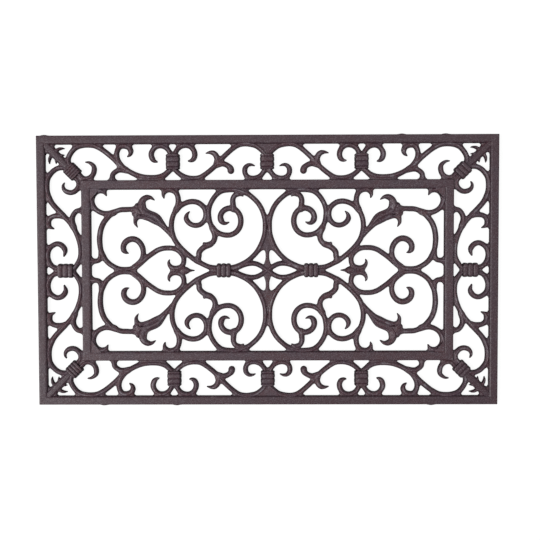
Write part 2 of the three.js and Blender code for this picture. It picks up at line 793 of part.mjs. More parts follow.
// Rubber foot pads, flush under the long rails near the corners.
function padSolid() {
  const outline = [[0, 0], [padRadius - padEdge, 0], [padRadius, padEdge], [padRadius, padHeight], [0, padHeight]];
  const geometry = new THREE.LatheGeometry(outline.map(([x, y]) => new THREE.Vector2(x, y)), padSides);
  geometry.rotateX(Math.PI / 2);
  return solidOf(geometry);
}

const pads = new THREE.Group();
for (const [quarter, [signX, signY]] of Object.entries(quarters)) {
  const pad = member(`foot_pad_${quarter}`, padSolid(), rubber);
  pad.position.x = signX * (edgeX.outside - padInset);
  pad.position.y = signY * (edgeY.outside - outerRailWidth / 2);
  pads.add(pad);
}

const mat = new THREE.Group();
mat.add(casting, pads);

export default mat;
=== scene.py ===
"""Cast iron door mat: an openwork casting with a satin brown coating, on rubber pads, on a pale floor.

Lengths are millimetres until a mesh is made, and metres in Blender.
"""

import math

import bpy
import numpy as np
from mathutils import Matrix, Vector


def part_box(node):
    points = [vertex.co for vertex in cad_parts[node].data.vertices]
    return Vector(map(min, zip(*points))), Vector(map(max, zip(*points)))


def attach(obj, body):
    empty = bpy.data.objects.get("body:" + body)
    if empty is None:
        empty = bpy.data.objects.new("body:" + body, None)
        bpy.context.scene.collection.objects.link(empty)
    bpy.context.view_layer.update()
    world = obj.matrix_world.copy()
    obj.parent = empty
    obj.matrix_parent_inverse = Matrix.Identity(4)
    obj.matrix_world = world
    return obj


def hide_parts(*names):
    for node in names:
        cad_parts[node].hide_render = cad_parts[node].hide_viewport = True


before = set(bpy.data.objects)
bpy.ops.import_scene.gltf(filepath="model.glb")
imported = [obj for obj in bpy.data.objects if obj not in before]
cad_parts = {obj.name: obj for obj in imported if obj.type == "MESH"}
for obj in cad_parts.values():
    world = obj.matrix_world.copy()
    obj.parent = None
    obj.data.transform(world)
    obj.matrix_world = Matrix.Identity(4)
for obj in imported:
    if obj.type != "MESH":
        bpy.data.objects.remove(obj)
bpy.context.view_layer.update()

MM = 0.001

# Sizes of the casting's members.
SCROLL_WIDTH = 7.8
CLEARANCE = 0.3
TIP_WIDTH = 1.3
TIP_SWELL = 0.75
WEB_HALF_WIDTH = 14
WEB_DEPTH = 17
WEB_UNDER_RAIL = 2
STUB_LENGTH = 13
STUB_STAND_OFF = 1.2
# Where along the long rails the gates' stubs are, with each rail turned to the back.
STUBS = {"outer_rail_back": (-347, 209, 277), "outer_rail_front": (257, 143, -256)}

# The section of a scroll bar, as depths inside its outline and heights above the casting's underside:
# a steep rounded edge, a sloping flank and a narrow ridge. Only the broad leaves are deep enough
# for the last.
WALL_TOP = 3.4
SECTION_DEPTHS = (0, 0.35, 0.8, 1.3, 2.0, 3.1, 3.5, 3.9, 5.6)
SECTION_HEIGHTS = (WALL_TOP, 4.2, 4.95, 5.55, 6.2, 7.2, 7.5, 7.6, 8.3)
CROWN = SECTION_HEIGHTS[-1]

# Heights of what is lower or flatter than a bar's ridge.
FILLET_TOP = 5.7
ROSETTE_FILLET_TOP = 4.7
SPINDLE_TOP = 5.3
SPINDLE_WEB_TOP = 5.2
CENTRE_WEB_TOP = 4.5
CORNER_WEB_TOP = 8.1
LEAF_STEM_TOP = 7.3

# How far from the rosette its low fillets begin to rise to the others' height, and over what way.
ROSETTE_FILLET_REACH = 2
ROSETTE_FILLET_RISE = 8

# The veins of the tulip leaves: half their width, and how round their bottom is.
GROOVE_HALF_WIDTH = 1.9
GROOVE_ROUNDNESS = 0.8

# The walls' draft, how much fuller the pour leaves every outline, and the bevel round the walls' foot.
DRAFT = 0.3
POUR_SWELL = 0.14
FOOT_BEVEL = 0.6

# The gentle unevenness of a sand casting: waves by their turn along x and along y and their phase, and
# their height.
RIPPLE_WAVES = (
    (0.11, 0.07, 0.4),
    (-0.06, 0.16, 1.9),
    (0.23, -0.19, 3.1),
    (0.31, 0.37, 0.7),
    (-0.52, 0.41, 5.2),
)
RIPPLE_HEIGHT = 0.035

# Spacing of the surface's grid, how many cells it reaches past the mat's middle planes, and how far
# it reaches into the outer frame.
PITCH = 0.75
MARGIN_CELLS = 24
GRID_IN_FRAME = 4
# How far a member's surface runs on inside a rail.
RAIL_OVERLAP = 2.8
# Spacing of the points along a bar, and how far from the bar its distance is worked out.
SAMPLE_STEP = 1.2
REACH = 8
FAR = 60.0
# How often a point beside the outline is moved nearer to it, and the least slope and length of a normal
# that are divided by there.
SNAP_STEPS = 3
LEAST_SLOPE = 0.5
LEAST_NORMAL = 0.3
# Faces that meet at a sharper angle than this are shaded with an edge.
SHARP_ANGLE = math.radians(48)


def box_mm(node):
    """Lowest and highest corner of a node of the frame, in millimetres."""
    low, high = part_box(node)
    return low / MM, high / MM


OUTER_RIGHT = box_mm("outer_rail_right")
INNER_RIGHT = box_mm("inner_rail_right")
INNER_BACK = box_mm("inner_rail_back")
OUTER_BACK = box_mm("outer_rail_back")
BASE = OUTER_RIGHT[0].z
RAIL_HEIGHT = OUTER_RIGHT[1].z - BASE
MITRE_GAP = CLEARANCE / math.sqrt(2)

# The frames' edges, measured out from the middle: inner frame's two, then outer frame's two.
EDGE_X = (0, INNER_RIGHT[0].x, INNER_RIGHT[1].x, OUTER_RIGHT[0].x, OUTER_RIGHT[1].x)
EDGE_Y = (0, INNER_BACK[0].y, INNER_BACK[1].y, OUTER_BACK[0].y, OUTER_RIGHT[1].y + MITRE_GAP)

# The scrollwork is drawn on a mat whose frames have these edges, and moved to the real ones.
DRAWN_X = (0, 276, 290.5, 346.25, 360)
DRAWN_Y = (0, 126, 140.5, 196.25, 210)


def along_axis(value, drawn, real):
    return float(np.sign(value) * np.interp(abs(value), drawn, real))


def place(x, y, width=1.0):
    """A drawn point's real place, with the bar's width there as a third coordinate."""
    return (along_axis(x, DRAWN_X, EDGE_X), along_axis(y, DRAWN_Y, EDGE_Y), width * SCROLL_WIDTH)


# How softly a bar runs together with another seen from above, with its mirror image, a plate or a rail.
FILLET = 4.6
MIRROR_FILLET = 6.5
PLATE_FILLET = 7.0
RAIL_FILLET = 7.6


def stroke(*parts, start=None, end=None, fillet=FILLET, top=CROWN):
    """A bar along drawn knots and lists of placed ones. Its ends are plain, round or points, which are as
    long as that many bar widths."""
    line = []
    for part in parts:
        line += part if isinstance(part, list) else [place(*part)]
    return {"line": line, "start": start, "end": end, "fillet": fillet, "top": top}


ROUND = "round"

PAIR_OFFSET = (SCROLL_WIDTH + CLEARANCE) / 2
LONG_BORDER_MIDDLE = 169
SHORT_BORDER_MIDDLE = 317

# Collars: middle, turn, length and number of ribs, then the share of a rib that the first one lacks,
# and how deep the grooves cut into the flanks, as a share of their depth on the crown.
def new_collar(x, y, turn, length, ribs, rim, notch):
    return {"at": place(x, y), "turn": turn, "length": length, "ribs": ribs, "rim": rim, "notch": notch}


BORDER_COLLAR = new_collar(147.2, LONG_BORDER_MIDDLE, math.pi / 2, 24, 3, rim=0.5, notch=0.45)
CENTRE_COLLAR = new_collar(0, LONG_BORDER_MIDDLE, math.pi / 2, 24, 3, rim=0.5, notch=0.6)
SIDE_COLLAR = new_collar(SHORT_BORDER_MIDDLE, 0, 0, 25, 3, rim=0, notch=0.85)
PANEL_COLLAR = new_collar(68.5, 0, 0, 23, 3, rim=0, notch=1.15)
CORNER_COLLAR = new_collar(304.5, 154.5, math.pi / 4, 21, 5, rim=0, notch=0.4)
# The corner collars of the casting aren't alike: one has fine ribs and the others have broad ones.
CORNER_RIBS = {"back_right": 3, "back_left": 5, "front_right": 3, "front_left": 4}


def collar_axes(collar):
    """A collar's middle, and its directions along its bars and to their left."""
    along = Vector((math.cos(collar["turn"]), math.sin(collar["turn"])))
    return Vector(collar["at"][:2]), along, Vector((-along.y, along.x))


def through(collar, side):
    """The two knots of a bar that passes through a collar, on its left (+1) or right (-1)."""
    middle, along, left = collar_axes(collar)
    ends = []
    for end in (-0.5, 0.5):
        point = middle + along * end * collar["length"] + left * side * PAIR_OFFSET
        ends.append((point.x, point.y, SCROLL_WIDTH))
    return ends


def back_through(collar, side):
    return through(collar, side)[::-1]


# The strokes of each member, in the quarter with +X and +Y.
CORNER_BORDER_SCROLL = [
    stroke(
        (284.4, 169), (279.4, 168.7, 1.08), (275.3, 166.7, 1.1), (271.1, 162.4, 1.03),
        (270.4, 156.7, 1.03), (272.2, 150.2), (276.9, 145.2), (284, 143.1), (289.5, 145),
        through(CORNER_COLLAR, 1),
        (311, 172), (309.1, 179.2), (300.4, 190.3), (288.2, 195.2), (272, 195), (258.3, 188.7, 1.03),
        (243.7, 177.4, 1.05), (231.8, 166.3), (215.6, 154.1, 1.03), (196.9, 146.4, 1.03), (178, 144.9),
        (167.9, 146, 1.08), (160.3, 148.9, 1.14), (154.9, 153.5, 1.1),
        through(BORDER_COLLAR, -1),
        (153.8, 186.7), (159.2, 191.8), (166, 194), (172.6, 192.8), (178, 188.1), (180.8, 182.1, 1.1),
        (180.2, 176, 1.1), (176.7, 170.9, 1.07), (171.3, 168.9, 1.04),
        start=2.6, end=1.2,
    ),
    stroke(
        (229.5, 163), (233.9, 174), (234.9, 182.5, 1.02), (232.7, 189.3, 1.04), (228.7, 193.2, 1.05),
        (222, 194, 1.14), (215.9, 191.3, 1.1), (213, 186.4, 1.1), (213.8, 181.1, 1.1), (218.2, 177),
        end=1.5,
    ),
    stroke((222, 156), (231.9, 156.3), (237.6, 153.5), (241.3, 149.7), (242.2, 145), (242.2, 138)),
]

CENTRE_BORDER_SCROLL = [
    stroke(
        (123.6, 170.4), (119.3, 170.6), (115.2, 173.1), (113, 178.3, 1.08), (113.5, 184.1, 1.1),
        (116.2, 189.4, 1.06), (121.2, 193.2), (127.2, 194.6), (134.8, 192.7), (140.7, 187.5),
        back_through(BORDER_COLLAR, 1),
        (138.3, 151.3), (131.6, 147), (124.1, 144.3), (115, 143.3), (106, 144.5), (98.2, 148.6),
        (84, 159.8), (72.7, 171.8), (60, 184), (52, 190.5), (44.1, 195.3), (35, 197.3), (25.9, 196.1),
        (17.3, 193.3), (9.2, 187.4),
        back_through(CENTRE_COLLAR, -1),
        (7.6, 150.3), (11.6, 146.4), (17, 144), (22.5, 143.2), (28.6, 144.5), (33.3, 148.5),
        (35, 154.1, 1.04), (34, 159.6, 1.04), (29.8, 163.6, 1.04), (24.8, 164.2, 1.04), (19.3, 162.4),
        start=1.2, end=2.3,
    ),
    stroke(
        (76.5, 165), (78.2, 173.8, 1.1), (80.3, 179.4, 1.12), (84.3, 182.7), (89.9, 183.4, 0.88),
        (96, 182.1, 0.75),
        end=1.5, fillet=5,
    ),
    stroke(
        (78, 166.8), (66.8, 165.3, 1.08), (61, 162.5, 1.08), (57.3, 158.3, 1.3), (56.6, 148.8, 1.42),
        end=ROUND,
    ),
]

SIDE_BORDER_SCROLL = [
    stroke(
        (317.3, 137.1), (319.4, 132.9), (318.9, 128.2), (315.6, 124), (309, 121.7), (302.5, 123),
        (297.4, 127.5), (294.9, 133), (295.6, 139),
        through(CORNER_COLLAR, -1),
        (325.1, 160.2), (332.9, 156.7), (338.9, 150.8), (343.6, 143), (345.1, 133), (344.4, 122.8),
        (341.5, 114.1, 1.02), (336.7, 104.6, 1.05), (323.1, 89.6, 1.04), (308.4, 73.7), (301.4, 62.4),
        (296.6, 51), (293.7, 40), (292.8, 30), (293.9, 20.2), (298.2, 11.2),
        through(SIDE_COLLAR, 1),
        (336.6, 6.2), (341.7, 11.7), (345, 20), (345.1, 27), (342.6, 33.9), (338, 38.8),
        (331.3, 42, 1.03), (325, 40.9, 1.07), (319.6, 36.3, 1.07), (317.4, 30.6, 1.08), (319.8, 22.1),
        start=2.2, end=1.7,
    ),
    stroke(
        (322.2, 85.3, 1.03), (329.1, 85.7, 1.06), (336.1, 84.7), (341.4, 80.7), (343.1, 74.2),
        (341.1, 68.7), (334.6, 65.3),
        end=1.5,
    ),
    stroke((303.6, 69.2), (305.6, 77.7), (305.1, 84.2), (302.4, 89.3), (298.1, 93.2), (288, 93.9)),
]

PANEL_SCROLL = [
    stroke(
        (161.6, 112.1), (162.6, 118), (160.4, 122.7), (155, 125.6), (147, 124, 1.02), (141.6, 119, 1.05),
        (139.6, 113, 1.07), (139.3, 107, 1.07), (140.5, 101, 1.05), (144, 93), (148, 84), (150, 75, 1.03),
        (150.1, 67), (148.9, 58, 1.03), (145.6, 48.6, 1.05), (139.6, 39.9), (131.9, 31.5), (123, 23.6),
        (112.8, 15.8), (102.5, 10.4), (91.8, 5.7),
        back_through(PANEL_COLLAR, 1),
        (50, 5.3), (40.5, 9.4), (31, 14.9), (23, 21.6), (16.2, 28.9), (10.8, 37.1), (6.8, 46.4),
        (4.1, 57), (3.4, 68), (3.7, 78), (6, 88), (9.6, 97), (15.1, 105.4), (22.1, 112.5), (30, 118.5),
        (38, 121.8), (48, 125), (60, 125.4), (71.6, 123.1), (79.8, 117.4), (85.7, 109.7), (89.8, 101.4),
        (91.9, 92, 1.04), (91.5, 83, 1.04), (89.6, 74.4), (85.8, 66.5), (80.2, 61), (73, 56.8, 1.02),
        (65, 55, 1.05), (57.1, 55.5, 1.05), (49.8, 59.1, 1.07), (44.5, 65.1, 1.1), (41.9, 72, 1.12),
        (41.6, 80, 1.12), (43.6, 87, 1.09), (47.6, 92.6, 1.06), (53, 96, 1.08), (60, 96.6, 1.14),
        (65.8, 94.8, 1.15), (71.1, 90.1, 1.13), (73.4, 83.9, 1.15), (72.3, 77.9, 1.23),
        (69.1, 74.1, 1.16), (64.8, 73.3, 1.09), (59.7, 75.2),
        start=1.4, end=2,
    ),
    stroke(
        (141.5, 95), (136.6, 99.8), (130, 104, 1.02), (123, 106.6, 1.06), (116, 107.2, 1.07),
        (109, 105.8, 1.07), (103.2, 102.2, 1.07), (98.3, 96.8, 1.07), (96.3, 90, 1.07),
        (96.7, 83.1, 1.05), (99.7, 76.5, 1.02), (105, 71.8), (111.5, 70.1, 1.02), (118, 71.2),
        (123.4, 74.8, 1.05), (126.8, 80, 1.05), (126.6, 85.2, 1.05), (124.6, 88.8), (121.6, 91.7),
        end=1.7,
    ),
    stroke(
        (109.1, 17, 1.06), (107.5, 22.1, 1.1), (107.1, 28, 1.14), (103.6, 32.8, 1.12), (97.9, 37, 1.15),
        (90.8, 39.7, 1.1), (85.2, 44.4, 1.09), (82.5, 50.5, 1.09), (83, 57, 1.08), (86, 65, 1.05),
    ),
    stroke((90, 40.8, 1.1), (96.3, 40.8, 0.77), (101.2, 42.8, 0.48), end=ROUND, fillet=2),
    stroke(
        (52.8, 95, 1.18), (53.7, 104, 1.14), (53.9, 110, 1.08), (51.5, 115.7, 1.04), (47.2, 118.3, 1.05),
        (41.9, 118.1), (37.7, 115.2),
        end=1.2, fillet=2.5,
    ),
]

TULIP_LEAF = [
    stroke(
        (205, 95, 1.6), (196, 90.8, 2), (186, 85.9, 2.14), (175.6, 80.8, 2.22), (167.1, 73.7, 1.52),
        (159.6, 65.2, 1.08), (151.2, 56.6, 0.98),
    ),
    stroke(
        (200.2, 93, 1.8), (198, 102.2, 1.28), (195.3, 109.3, 1.26), (189.8, 113.3, 1.16), (183.3, 113.7),
        (176.5, 109.6, 0.9),
        end=1.7,
    ),
    stroke(
        (203, 90, 1.7), (205, 83.5, 1.15), (206.6, 78, 0.82), (206.8, 73.8, 0.66), (203.3, 67, 0.6),
        end=1, fillet=3,
    ),
    stroke((200, 99, 1.2), (207.3, 103.2, 0.83), end=ROUND, fillet=1.5),
    stroke((203, 90, 1.2), (212, 86.6, 0.62), end=ROUND, fillet=1.5),
    stroke((200.5, 92, 1.3), (196.9, 95.6, 1.38), (195.9, 101, 1.25), fillet=7),
    stroke((203, 86), (197, 84.9), (190, 83.8, 0.9), fillet=5),
]

END_SCROLL = [
    stroke(
        (207, 94.7), (214, 95.4), (222, 95.1, 1.05), (229.2, 94.8, 1.04), (236.3, 92.8), (243.8, 89.1),
        (250.1, 82.8, 1.05), (256.1, 75.5, 1.08), (260.1, 67, 1.08), (262.3, 58, 1.08), (263.1, 49, 1.08),
        (262.6, 40, 1.05), (261.2, 31.9), (258, 24.3), (253.5, 16.1, 1.02), (247.2, 10, 1.02),
        (239.6, 5.4), (232, 2.4), (225, 1.4), (218, 1.9), (210.5, 4.1), (204.5, 8.3), (199.5, 13.7),
        (196.2, 19.9), (194.8, 27), (195.3, 34, 1.08), (198.4, 41.2, 1.12), (204.1, 47, 1.15),
        (211, 49.3, 1.18), (218.3, 47.7, 1.2), (223.8, 43, 1.17), (226, 37, 1.12), (225.2, 31.7, 1.08),
        (222.2, 28.6), (217.7, 27, 0.7),
        end=1.2,
    ),
    stroke(
        (241, 89.7), (250, 89.1, 1.04), (256, 89.2, 1.05), (262.6, 91.4), (269, 95.9), (273.2, 102.5),
        (274.9, 110), (273.8, 117.4), (268.7, 123), (261, 124.4), (255.2, 122, 1.04), (251.7, 116.2),
        end=1.5,
    ),
    stroke((280, 14.6), (270, 15), (265.1, 16.3), (262.4, 20.1), (261.9, 26.5, 0.7)),
]

HEART_HALF = [
    stroke(
        (208.7, 5.5), (195.3, 15.1), (187.5, 21.5), (180.4, 26.7, 1.03), (172.2, 31.8, 1.03),
        (164.1, 34.5, 1.03), (156, 35.1, 1.02), (149, 34.7), (141.8, 32.2), (136.1, 27.6), (132.2, 22),
        (131.1, 15.9), (132.6, 9.4, 1.03), (136.1, 5.6, 1.04), (141, 3.8, 1.04), (146, 3.5, 1.04),
        (150.6, 5), (154, 9), (155, 13.3), (153.6, 17.1),
        end=1.8,
    ),
]

ARROW_LEAF = [
    stroke((146, 0, 0.5), (136, 0, 0.9), (130.5, 0, 1.6), (122, 0, 0.62), (114.7, 0, 0.17), fillet=2),
]


def place_near_axis(x, y, width=1.0):
    """A knot close to the long axis, which keeps its distance from it as the collars on it do."""
    return (along_axis(x, DRAWN_X, EDGE_X), y, width * SCROLL_WIDTH)


def rosette_petal(side):
    """One S petal, which crosses the other on the middle."""
    half = [(56, 2.6), (46, 5.4), (36, 9), (26, 10.9), (18, 10.3), (10, 6.8)]
    line = [(-x, -y * side) for x, y in half]
    line += [(0, 0)]
    line += [(x, y * side) for x, y in reversed(half)]
    return stroke([place_near_axis(*knot) for knot in line], fillet=3.5)


def rosette_spindle():
    """The low waisted bar across the middle, from the web above to the web below."""
    half = [(40, 0.76), (28, 0.76), (24, 0.73), (20.5, 0.72), (15.5, 0.86), (11, 1.22)]
    line = [(0, y, width) for y, width in half]
    line += [(0, 0, 1.6)]
    line += [(0, -y, width) for y, width in reversed(half)]
    return stroke(*line, fillet=3, top=SPINDLE_TOP)


ROSETTE = [rosette_petal(1), rosette_petal(-1), rosette_spindle()]

DIAGONAL_SHIFT = EDGE_X[-1] - EDGE_Y[-1]


def across_diagonal(bar):
    """The same bar on the other side of the corner's diagonal."""
    line = [(y + DIAGONAL_SHIFT, x - DIAGONAL_SHIFT, width) for x, y, width in bar["line"]]
    return {**bar, "line": line}


LEAF_BARBS = [
    stroke(
        (335, 185.5, 1), (330, 187, 0.68), (325, 189.6, 0.64), (320.5, 190.5, 0.44), (315.5, 190, 0.3),
        end=0.6, fillet=2,
    ),
    stroke((326, 178.5, 0.9), (321, 179.9, 0.45), (316, 180, 0.3), end=0.5, fillet=1.5),
]
LEAF_STEM = stroke((351, 201, 1.72), (330, 180, 1.72), (319, 169, 1.6), (309, 159, 1.2), top=LEAF_STEM_TOP)

CORNER_LEAF = [LEAF_STEM, *LEAF_BARBS, *[across_diagonal(barb) for barb in LEAF_BARBS]]

# The tulip leaf's hollows, as depth and course: a vein from the lower petal along the body, one down from
# the upper petal, and the sloping upper flank.
TULIP_GROOVES = [
    (2.3, stroke(
        (206.5, 80.5, 0.5), (204, 84, 0.8), (198.5, 86.2, 0.9), (191, 85.6), (183, 82.6), (175, 78.6),
        (167, 72.8, 0.9), (159, 65.7, 0.5),
    )),
    (2.0, stroke((203.5, 105, 0.7), (201, 98.5, 0.8), (197.5, 91.5, 0.8), (194.5, 88, 0.5))),
    (1.2, stroke((190, 93.6, 0.7), (184, 91, 1.1), (176, 88, 1.2), (169, 83, 1.1), (164.5, 75.6, 0.7))),
]

WEB_EDGE = EDGE_Y[3] + WEB_UNDER_RAIL
CENTRE_WEB = ((-WEB_HALF_WIDTH, WEB_EDGE), (0, EDGE_Y[3] - WEB_DEPTH), (WEB_HALF_WIDTH, WEB_EDGE))
SPINDLE_TIP = place(0, 62)[1]
SPINDLE_SHOULDER = place(0, 32.6)[1]
SPINDLE_WEB = ((-WEB_HALF_WIDTH, SPINDLE_SHOULDER), (WEB_HALF_WIDTH, SPINDLE_SHOULDER), (0, SPINDLE_TIP))
# The hook of each end scroll fills the inner frame's corner, flush with its rails.
CORNER_WEB = (place(277, 127)[:2], place(262, 127)[:2], place(277, 108)[:2])


def smooth_line(line):
    """Points of a smooth curve through the knots, by centripetal spacing, with widths."""
    pts = np.array(line, float)
    pts = np.vstack([2 * pts[0] - pts[1], pts, 2 * pts[-1] - pts[-2]])
    out = []
    for p0, p1, p2, p3 in zip(pts, pts[1:], pts[2:], pts[3:]):
        g0, g1, g2 = (math.sqrt(np.linalg.norm(b - a)) for a, b in ((p0, p1), (p1, p2), (p2, p3)))
        lead = ((p1 - p0) / g0 - (p2 - p0) / (g0 + g1) + (p2 - p1) / g1) * g1
        trail = ((p2 - p1) / g1 - (p3 - p1) / (g1 + g2) + (p3 - p2) / g2) * g1
        steps = max(2, math.ceil(np.linalg.norm((p2 - p1)[:2]) / SAMPLE_STEP))
        t = (np.arange(steps) / steps)[:, None]
        curve = p1 + lead * t + (3 * (p2 - p1) - 2 * lead - trail) * t**2
        out.append(curve + (2 * (p1 - p2) + lead + trail) * t**3)
    out.append(pts[-2][None])
    return np.vstack(out)


def travelled(samples):
    return np.concatenate([[0], np.cumsum(np.linalg.norm(np.diff(samples[:, :2], axis=0), axis=1))])


def shape_end(samples, end):
    """Tapers or rounds the beginning of a row of samples."""
    way = travelled(samples)
    if end == ROUND:
        return samples[way >= samples[0, 2] / 2]
    if end:
        tip = TIP_WIDTH / SCROLL_WIDTH
        samples[:, 2] *= tip + (1 - tip) * np.clip(way / (end * SCROLL_WIDTH), 0, 1) ** TIP_SWELL
    return samples


def samples_of(bar):
    samples = shape_end(smooth_line(bar["line"]), bar["start"])
    return shape_end(samples[::-1].copy(), bar["end"])[::-1]


# The grid of the quarter's surface.
GRID_X = np.arange(-MARGIN_CELLS, math.ceil((EDGE_X[3] + GRID_IN_FRAME) / PITCH)) * PITCH
GRID_Y = np.arange(-MARGIN_CELLS, math.ceil((EDGE_Y[3] + GRID_IN_FRAME) / PITCH)) * PITCH
MESH_X, MESH_Y = np.meshgrid(GRID_X, GRID_Y, indexing="ij")


def grid_window(low, high):
    """The grid's cells between two points."""
    i0, j0 = np.searchsorted(GRID_X, low[0]), np.searchsorted(GRID_Y, low[1])
    i1, j1 = np.searchsorted(GRID_X, high[0]), np.searchsorted(GRID_Y, high[1])
    return slice(i0, i1), slice(j0, j1)


def stroke_distance(bar):
    """Signed distance to a bar's outline, below zero inside it."""
    samples = samples_of(bar)
    field = np.full(MESH_X.shape, FAR)
    for (ax, ay, aw), (bx, by, bw) in zip(samples, samples[1:]):
        reach = max(aw, bw) / 2 + REACH
        low = (min(ax, bx) - reach, min(ay, by) - reach)
        high = (max(ax, bx) + reach, max(ay, by) + reach)
        window = grid_window(low, high)
        dx, dy = bx - ax, by - ay
        x, y = MESH_X[window] - ax, MESH_Y[window] - ay
        t = np.clip((x * dx + y * dy) / max(dx * dx + dy * dy, 1e-9), 0, 1)
        distance = np.hypot(x - t * dx, y - t * dy) - (aw + t * (bw - aw)) / 2
        np.minimum(field[window], distance, out=field[window])
    return field


def polygon_distance(points):
    """Signed distance to a convex outline, whose points go anticlockwise."""
    field = np.full(MESH_X.shape, -FAR)
    for (ax, ay), (bx, by) in zip(points, points[1:] + points[:1]):
        length = math.hypot(bx - ax, by - ay)
        field = np.maximum(field, ((MESH_X - ax) * (by - ay) - (MESH_Y - ay) * (bx - ax)) / length)
    return field


def soft_min(a, b, width):
    """The lower of two fields, rounded where they are nearly equal."""
    near = np.clip(width - np.abs(a - b), 0, None) / width
    return np.minimum(a, b) - near * near * width / 4


def bar_height(depth):
    """Height of a bar's surface at some depth inside its outline."""
    return np.interp(depth, SECTION_DEPTHS, SECTION_HEIGHTS)


def with_mirror(field, combine):
    """A field joined with its mirror images, as far as the grid reaches past the middle planes."""
    span = 2 * MARGIN_CELLS + 1
    for _ in range(2):
        low = field[:span]
        # Turning the field over brings the other middle plane to its low side.
        field = np.vstack([combine(low, low[::-1]), field[span:]]).T
    return field


# Members that each quarter has one of, and all members, with what of them is drawn in one quarter.
QUARTER_MEMBERS = {
    "corner_border_scroll": CORNER_BORDER_SCROLL,
    "centre_border_scroll": CENTRE_BORDER_SCROLL,
    "side_border_scroll": SIDE_BORDER_SCROLL,
    "panel_scroll": PANEL_SCROLL,
    "tulip_leaf": TULIP_LEAF,
    "end_scroll": END_SCROLL,
    "corner_leaf": CORNER_LEAF,
}
MEMBERS = {**QUARTER_MEMBERS, "heart_scroll": HEART_HALF, "centre_rosette": [], "centre_web": []}
# What is its own mirror image, so that it joins the rest once that is mirrored.
CENTRED = {"heart_scroll": ARROW_LEAF, "centre_rosette": ROSETTE}
# Flat plates: outline, anticlockwise, and height. Their tops run on past the outline by this much.
PLATE_EDGE = 0.5
PLATES = {
    "centre_rosette": (SPINDLE_WEB, SPINDLE_WEB_TOP),
    "centre_web": (CENTRE_WEB, CENTRE_WEB_TOP),
    "end_scroll": (CORNER_WEB, CORNER_WEB_TOP),
}


def rail_distance():
    """Signed distance to the two frames, below zero inside their rails."""
    outer = np.minimum(EDGE_X[3] - MESH_X, EDGE_Y[3] - MESH_Y)
    outside = np.maximum(MESH_X - EDGE_X[2], MESH_Y - EDGE_Y[2])
    inside = np.minimum(EDGE_X[1] - MESH_X, EDGE_Y[1] - MESH_Y)
    return np.minimum(outer, np.maximum(outside, inside))


def groove_depth(depth, vein):
    """How deep a vein is sunk at each point of the grid."""
    scale = 2 * GROOVE_HALF_WIDTH / SCROLL_WIDTH
    distance = stroke_distance(stroke([(x, y, width * scale) for x, y, width in vein["line"]]))
    return depth * np.clip(-distance / GROOVE_HALF_WIDTH, 0, 1) ** GROOVE_ROUNDNESS


def casting_fields():
    """The filleted outline's signed distance, the surface's height and each member's distance."""
    rails = rail_distance()
    outline = np.full(MESH_X.shape, FAR)
    beside_rails = rails
    height = np.full(MESH_X.shape, WALL_TOP)
    members = {name: np.full(MESH_X.shape, FAR) for name in MEMBERS}

    def lay(bars, name):
        nonlocal outline, beside_rails, height
        for bar in bars:
            distance = stroke_distance(bar)
            members[name] = np.minimum(members[name], distance)
            outline = soft_min(outline, distance, bar["fillet"])
            rail_fillet = RAIL_FILLET if bar["fillet"] >= FILLET else bar["fillet"]
            beside_rails = np.minimum(beside_rails, soft_min(distance, rails, rail_fillet))
            height = np.maximum(height, np.minimum(bar_height(-distance), bar["top"]))

    for name, bars in MEMBERS.items():
        lay(bars, name)
    outline = with_mirror(outline, lambda a, b: soft_min(a, b, MIRROR_FILLET))
    beside_rails = with_mirror(beside_rails, np.minimum)
    height = with_mirror(height, np.maximum)
    for name, bars in CENTRED.items():
        lay(bars, name)
    for name, (points, top) in PLATES.items():
        distance = polygon_distance(points)
        members[name] = np.minimum(members[name], distance)
        outline = soft_min(outline, distance, PLATE_FILLET)
        height = np.maximum(height, np.where(distance < PLATE_EDGE, top, WALL_TOP))
    outline = np.minimum(outline, beside_rails) - POUR_SWELL
    # The fillets between the rosette's bars are lower than the others.
    away = np.clip((members["centre_rosette"] - ROSETTE_FILLET_REACH) / ROSETTE_FILLET_RISE, 0, 1)
    fillet_top = ROSETTE_FILLET_TOP + (FILLET_TOP - ROSETTE_FILLET_TOP) * away
    height = np.maximum(height, np.minimum(bar_height(-outline), fillet_top))
    for groove in TULIP_GROOVES:
        height = height - groove_depth(*groove)
    return outline, height, members, rails


def cell_corners(field):
    """A field at the four corners of every cell of the grid."""
    return [field[:-1, :-1], field[1:, :-1], field[1:, 1:], field[:-1, 1:]]


def cell_mean(field):
    return sum(cell_corners(field)) / 4


def bilinear(field, x, y):
    """A field's value between the grid's points."""
    u = np.clip((x - GRID_X[0]) / PITCH, 0, len(GRID_X) - 1.001)
    v = np.clip((y - GRID_Y[0]) / PITCH, 0, len(GRID_Y) - 1.001)
    i, j = u.astype(int), v.astype(int)
    s, t = u - i, v - j
    low = field[i, j] * (1 - s) + field[i + 1, j] * s
    high = field[i, j + 1] * (1 - s) + field[i + 1, j + 1] * s
    return low * (1 - t) + high * t


def snapped_grid(level):
    """The grid's points, with those beside the zero line of level moved on to it."""
    slope_x, slope_y = np.gradient(level, PITCH)
    x, y = MESH_X.copy(), MESH_Y.copy()
    near = np.abs(level) < PITCH / 2
    px, py = x[near], y[near]
    for _ in range(SNAP_STEPS):
        value = bilinear(level, px, py)
        gx, gy = bilinear(slope_x, px, py), bilinear(slope_y, px, py)
        size = np.maximum(gx * gx + gy * gy, LEAST_SLOPE**2)
        px, py = px - value * gx / size, py - value * gy / size
    x[near], y[near] = px, py
    # On a middle plane a point slides along it only.
    for axis_points, home in ((x, MESH_X), (y, MESH_Y)):
        on_plane = np.abs(home) < PITCH / 4
        axis_points[on_plane] = home[on_plane]
    normal = np.stack([slope_x, slope_y], -1)
    normal /= np.maximum(np.linalg.norm(normal, axis=-1, keepdims=True), LEAST_NORMAL)
    return x, y, near, normal


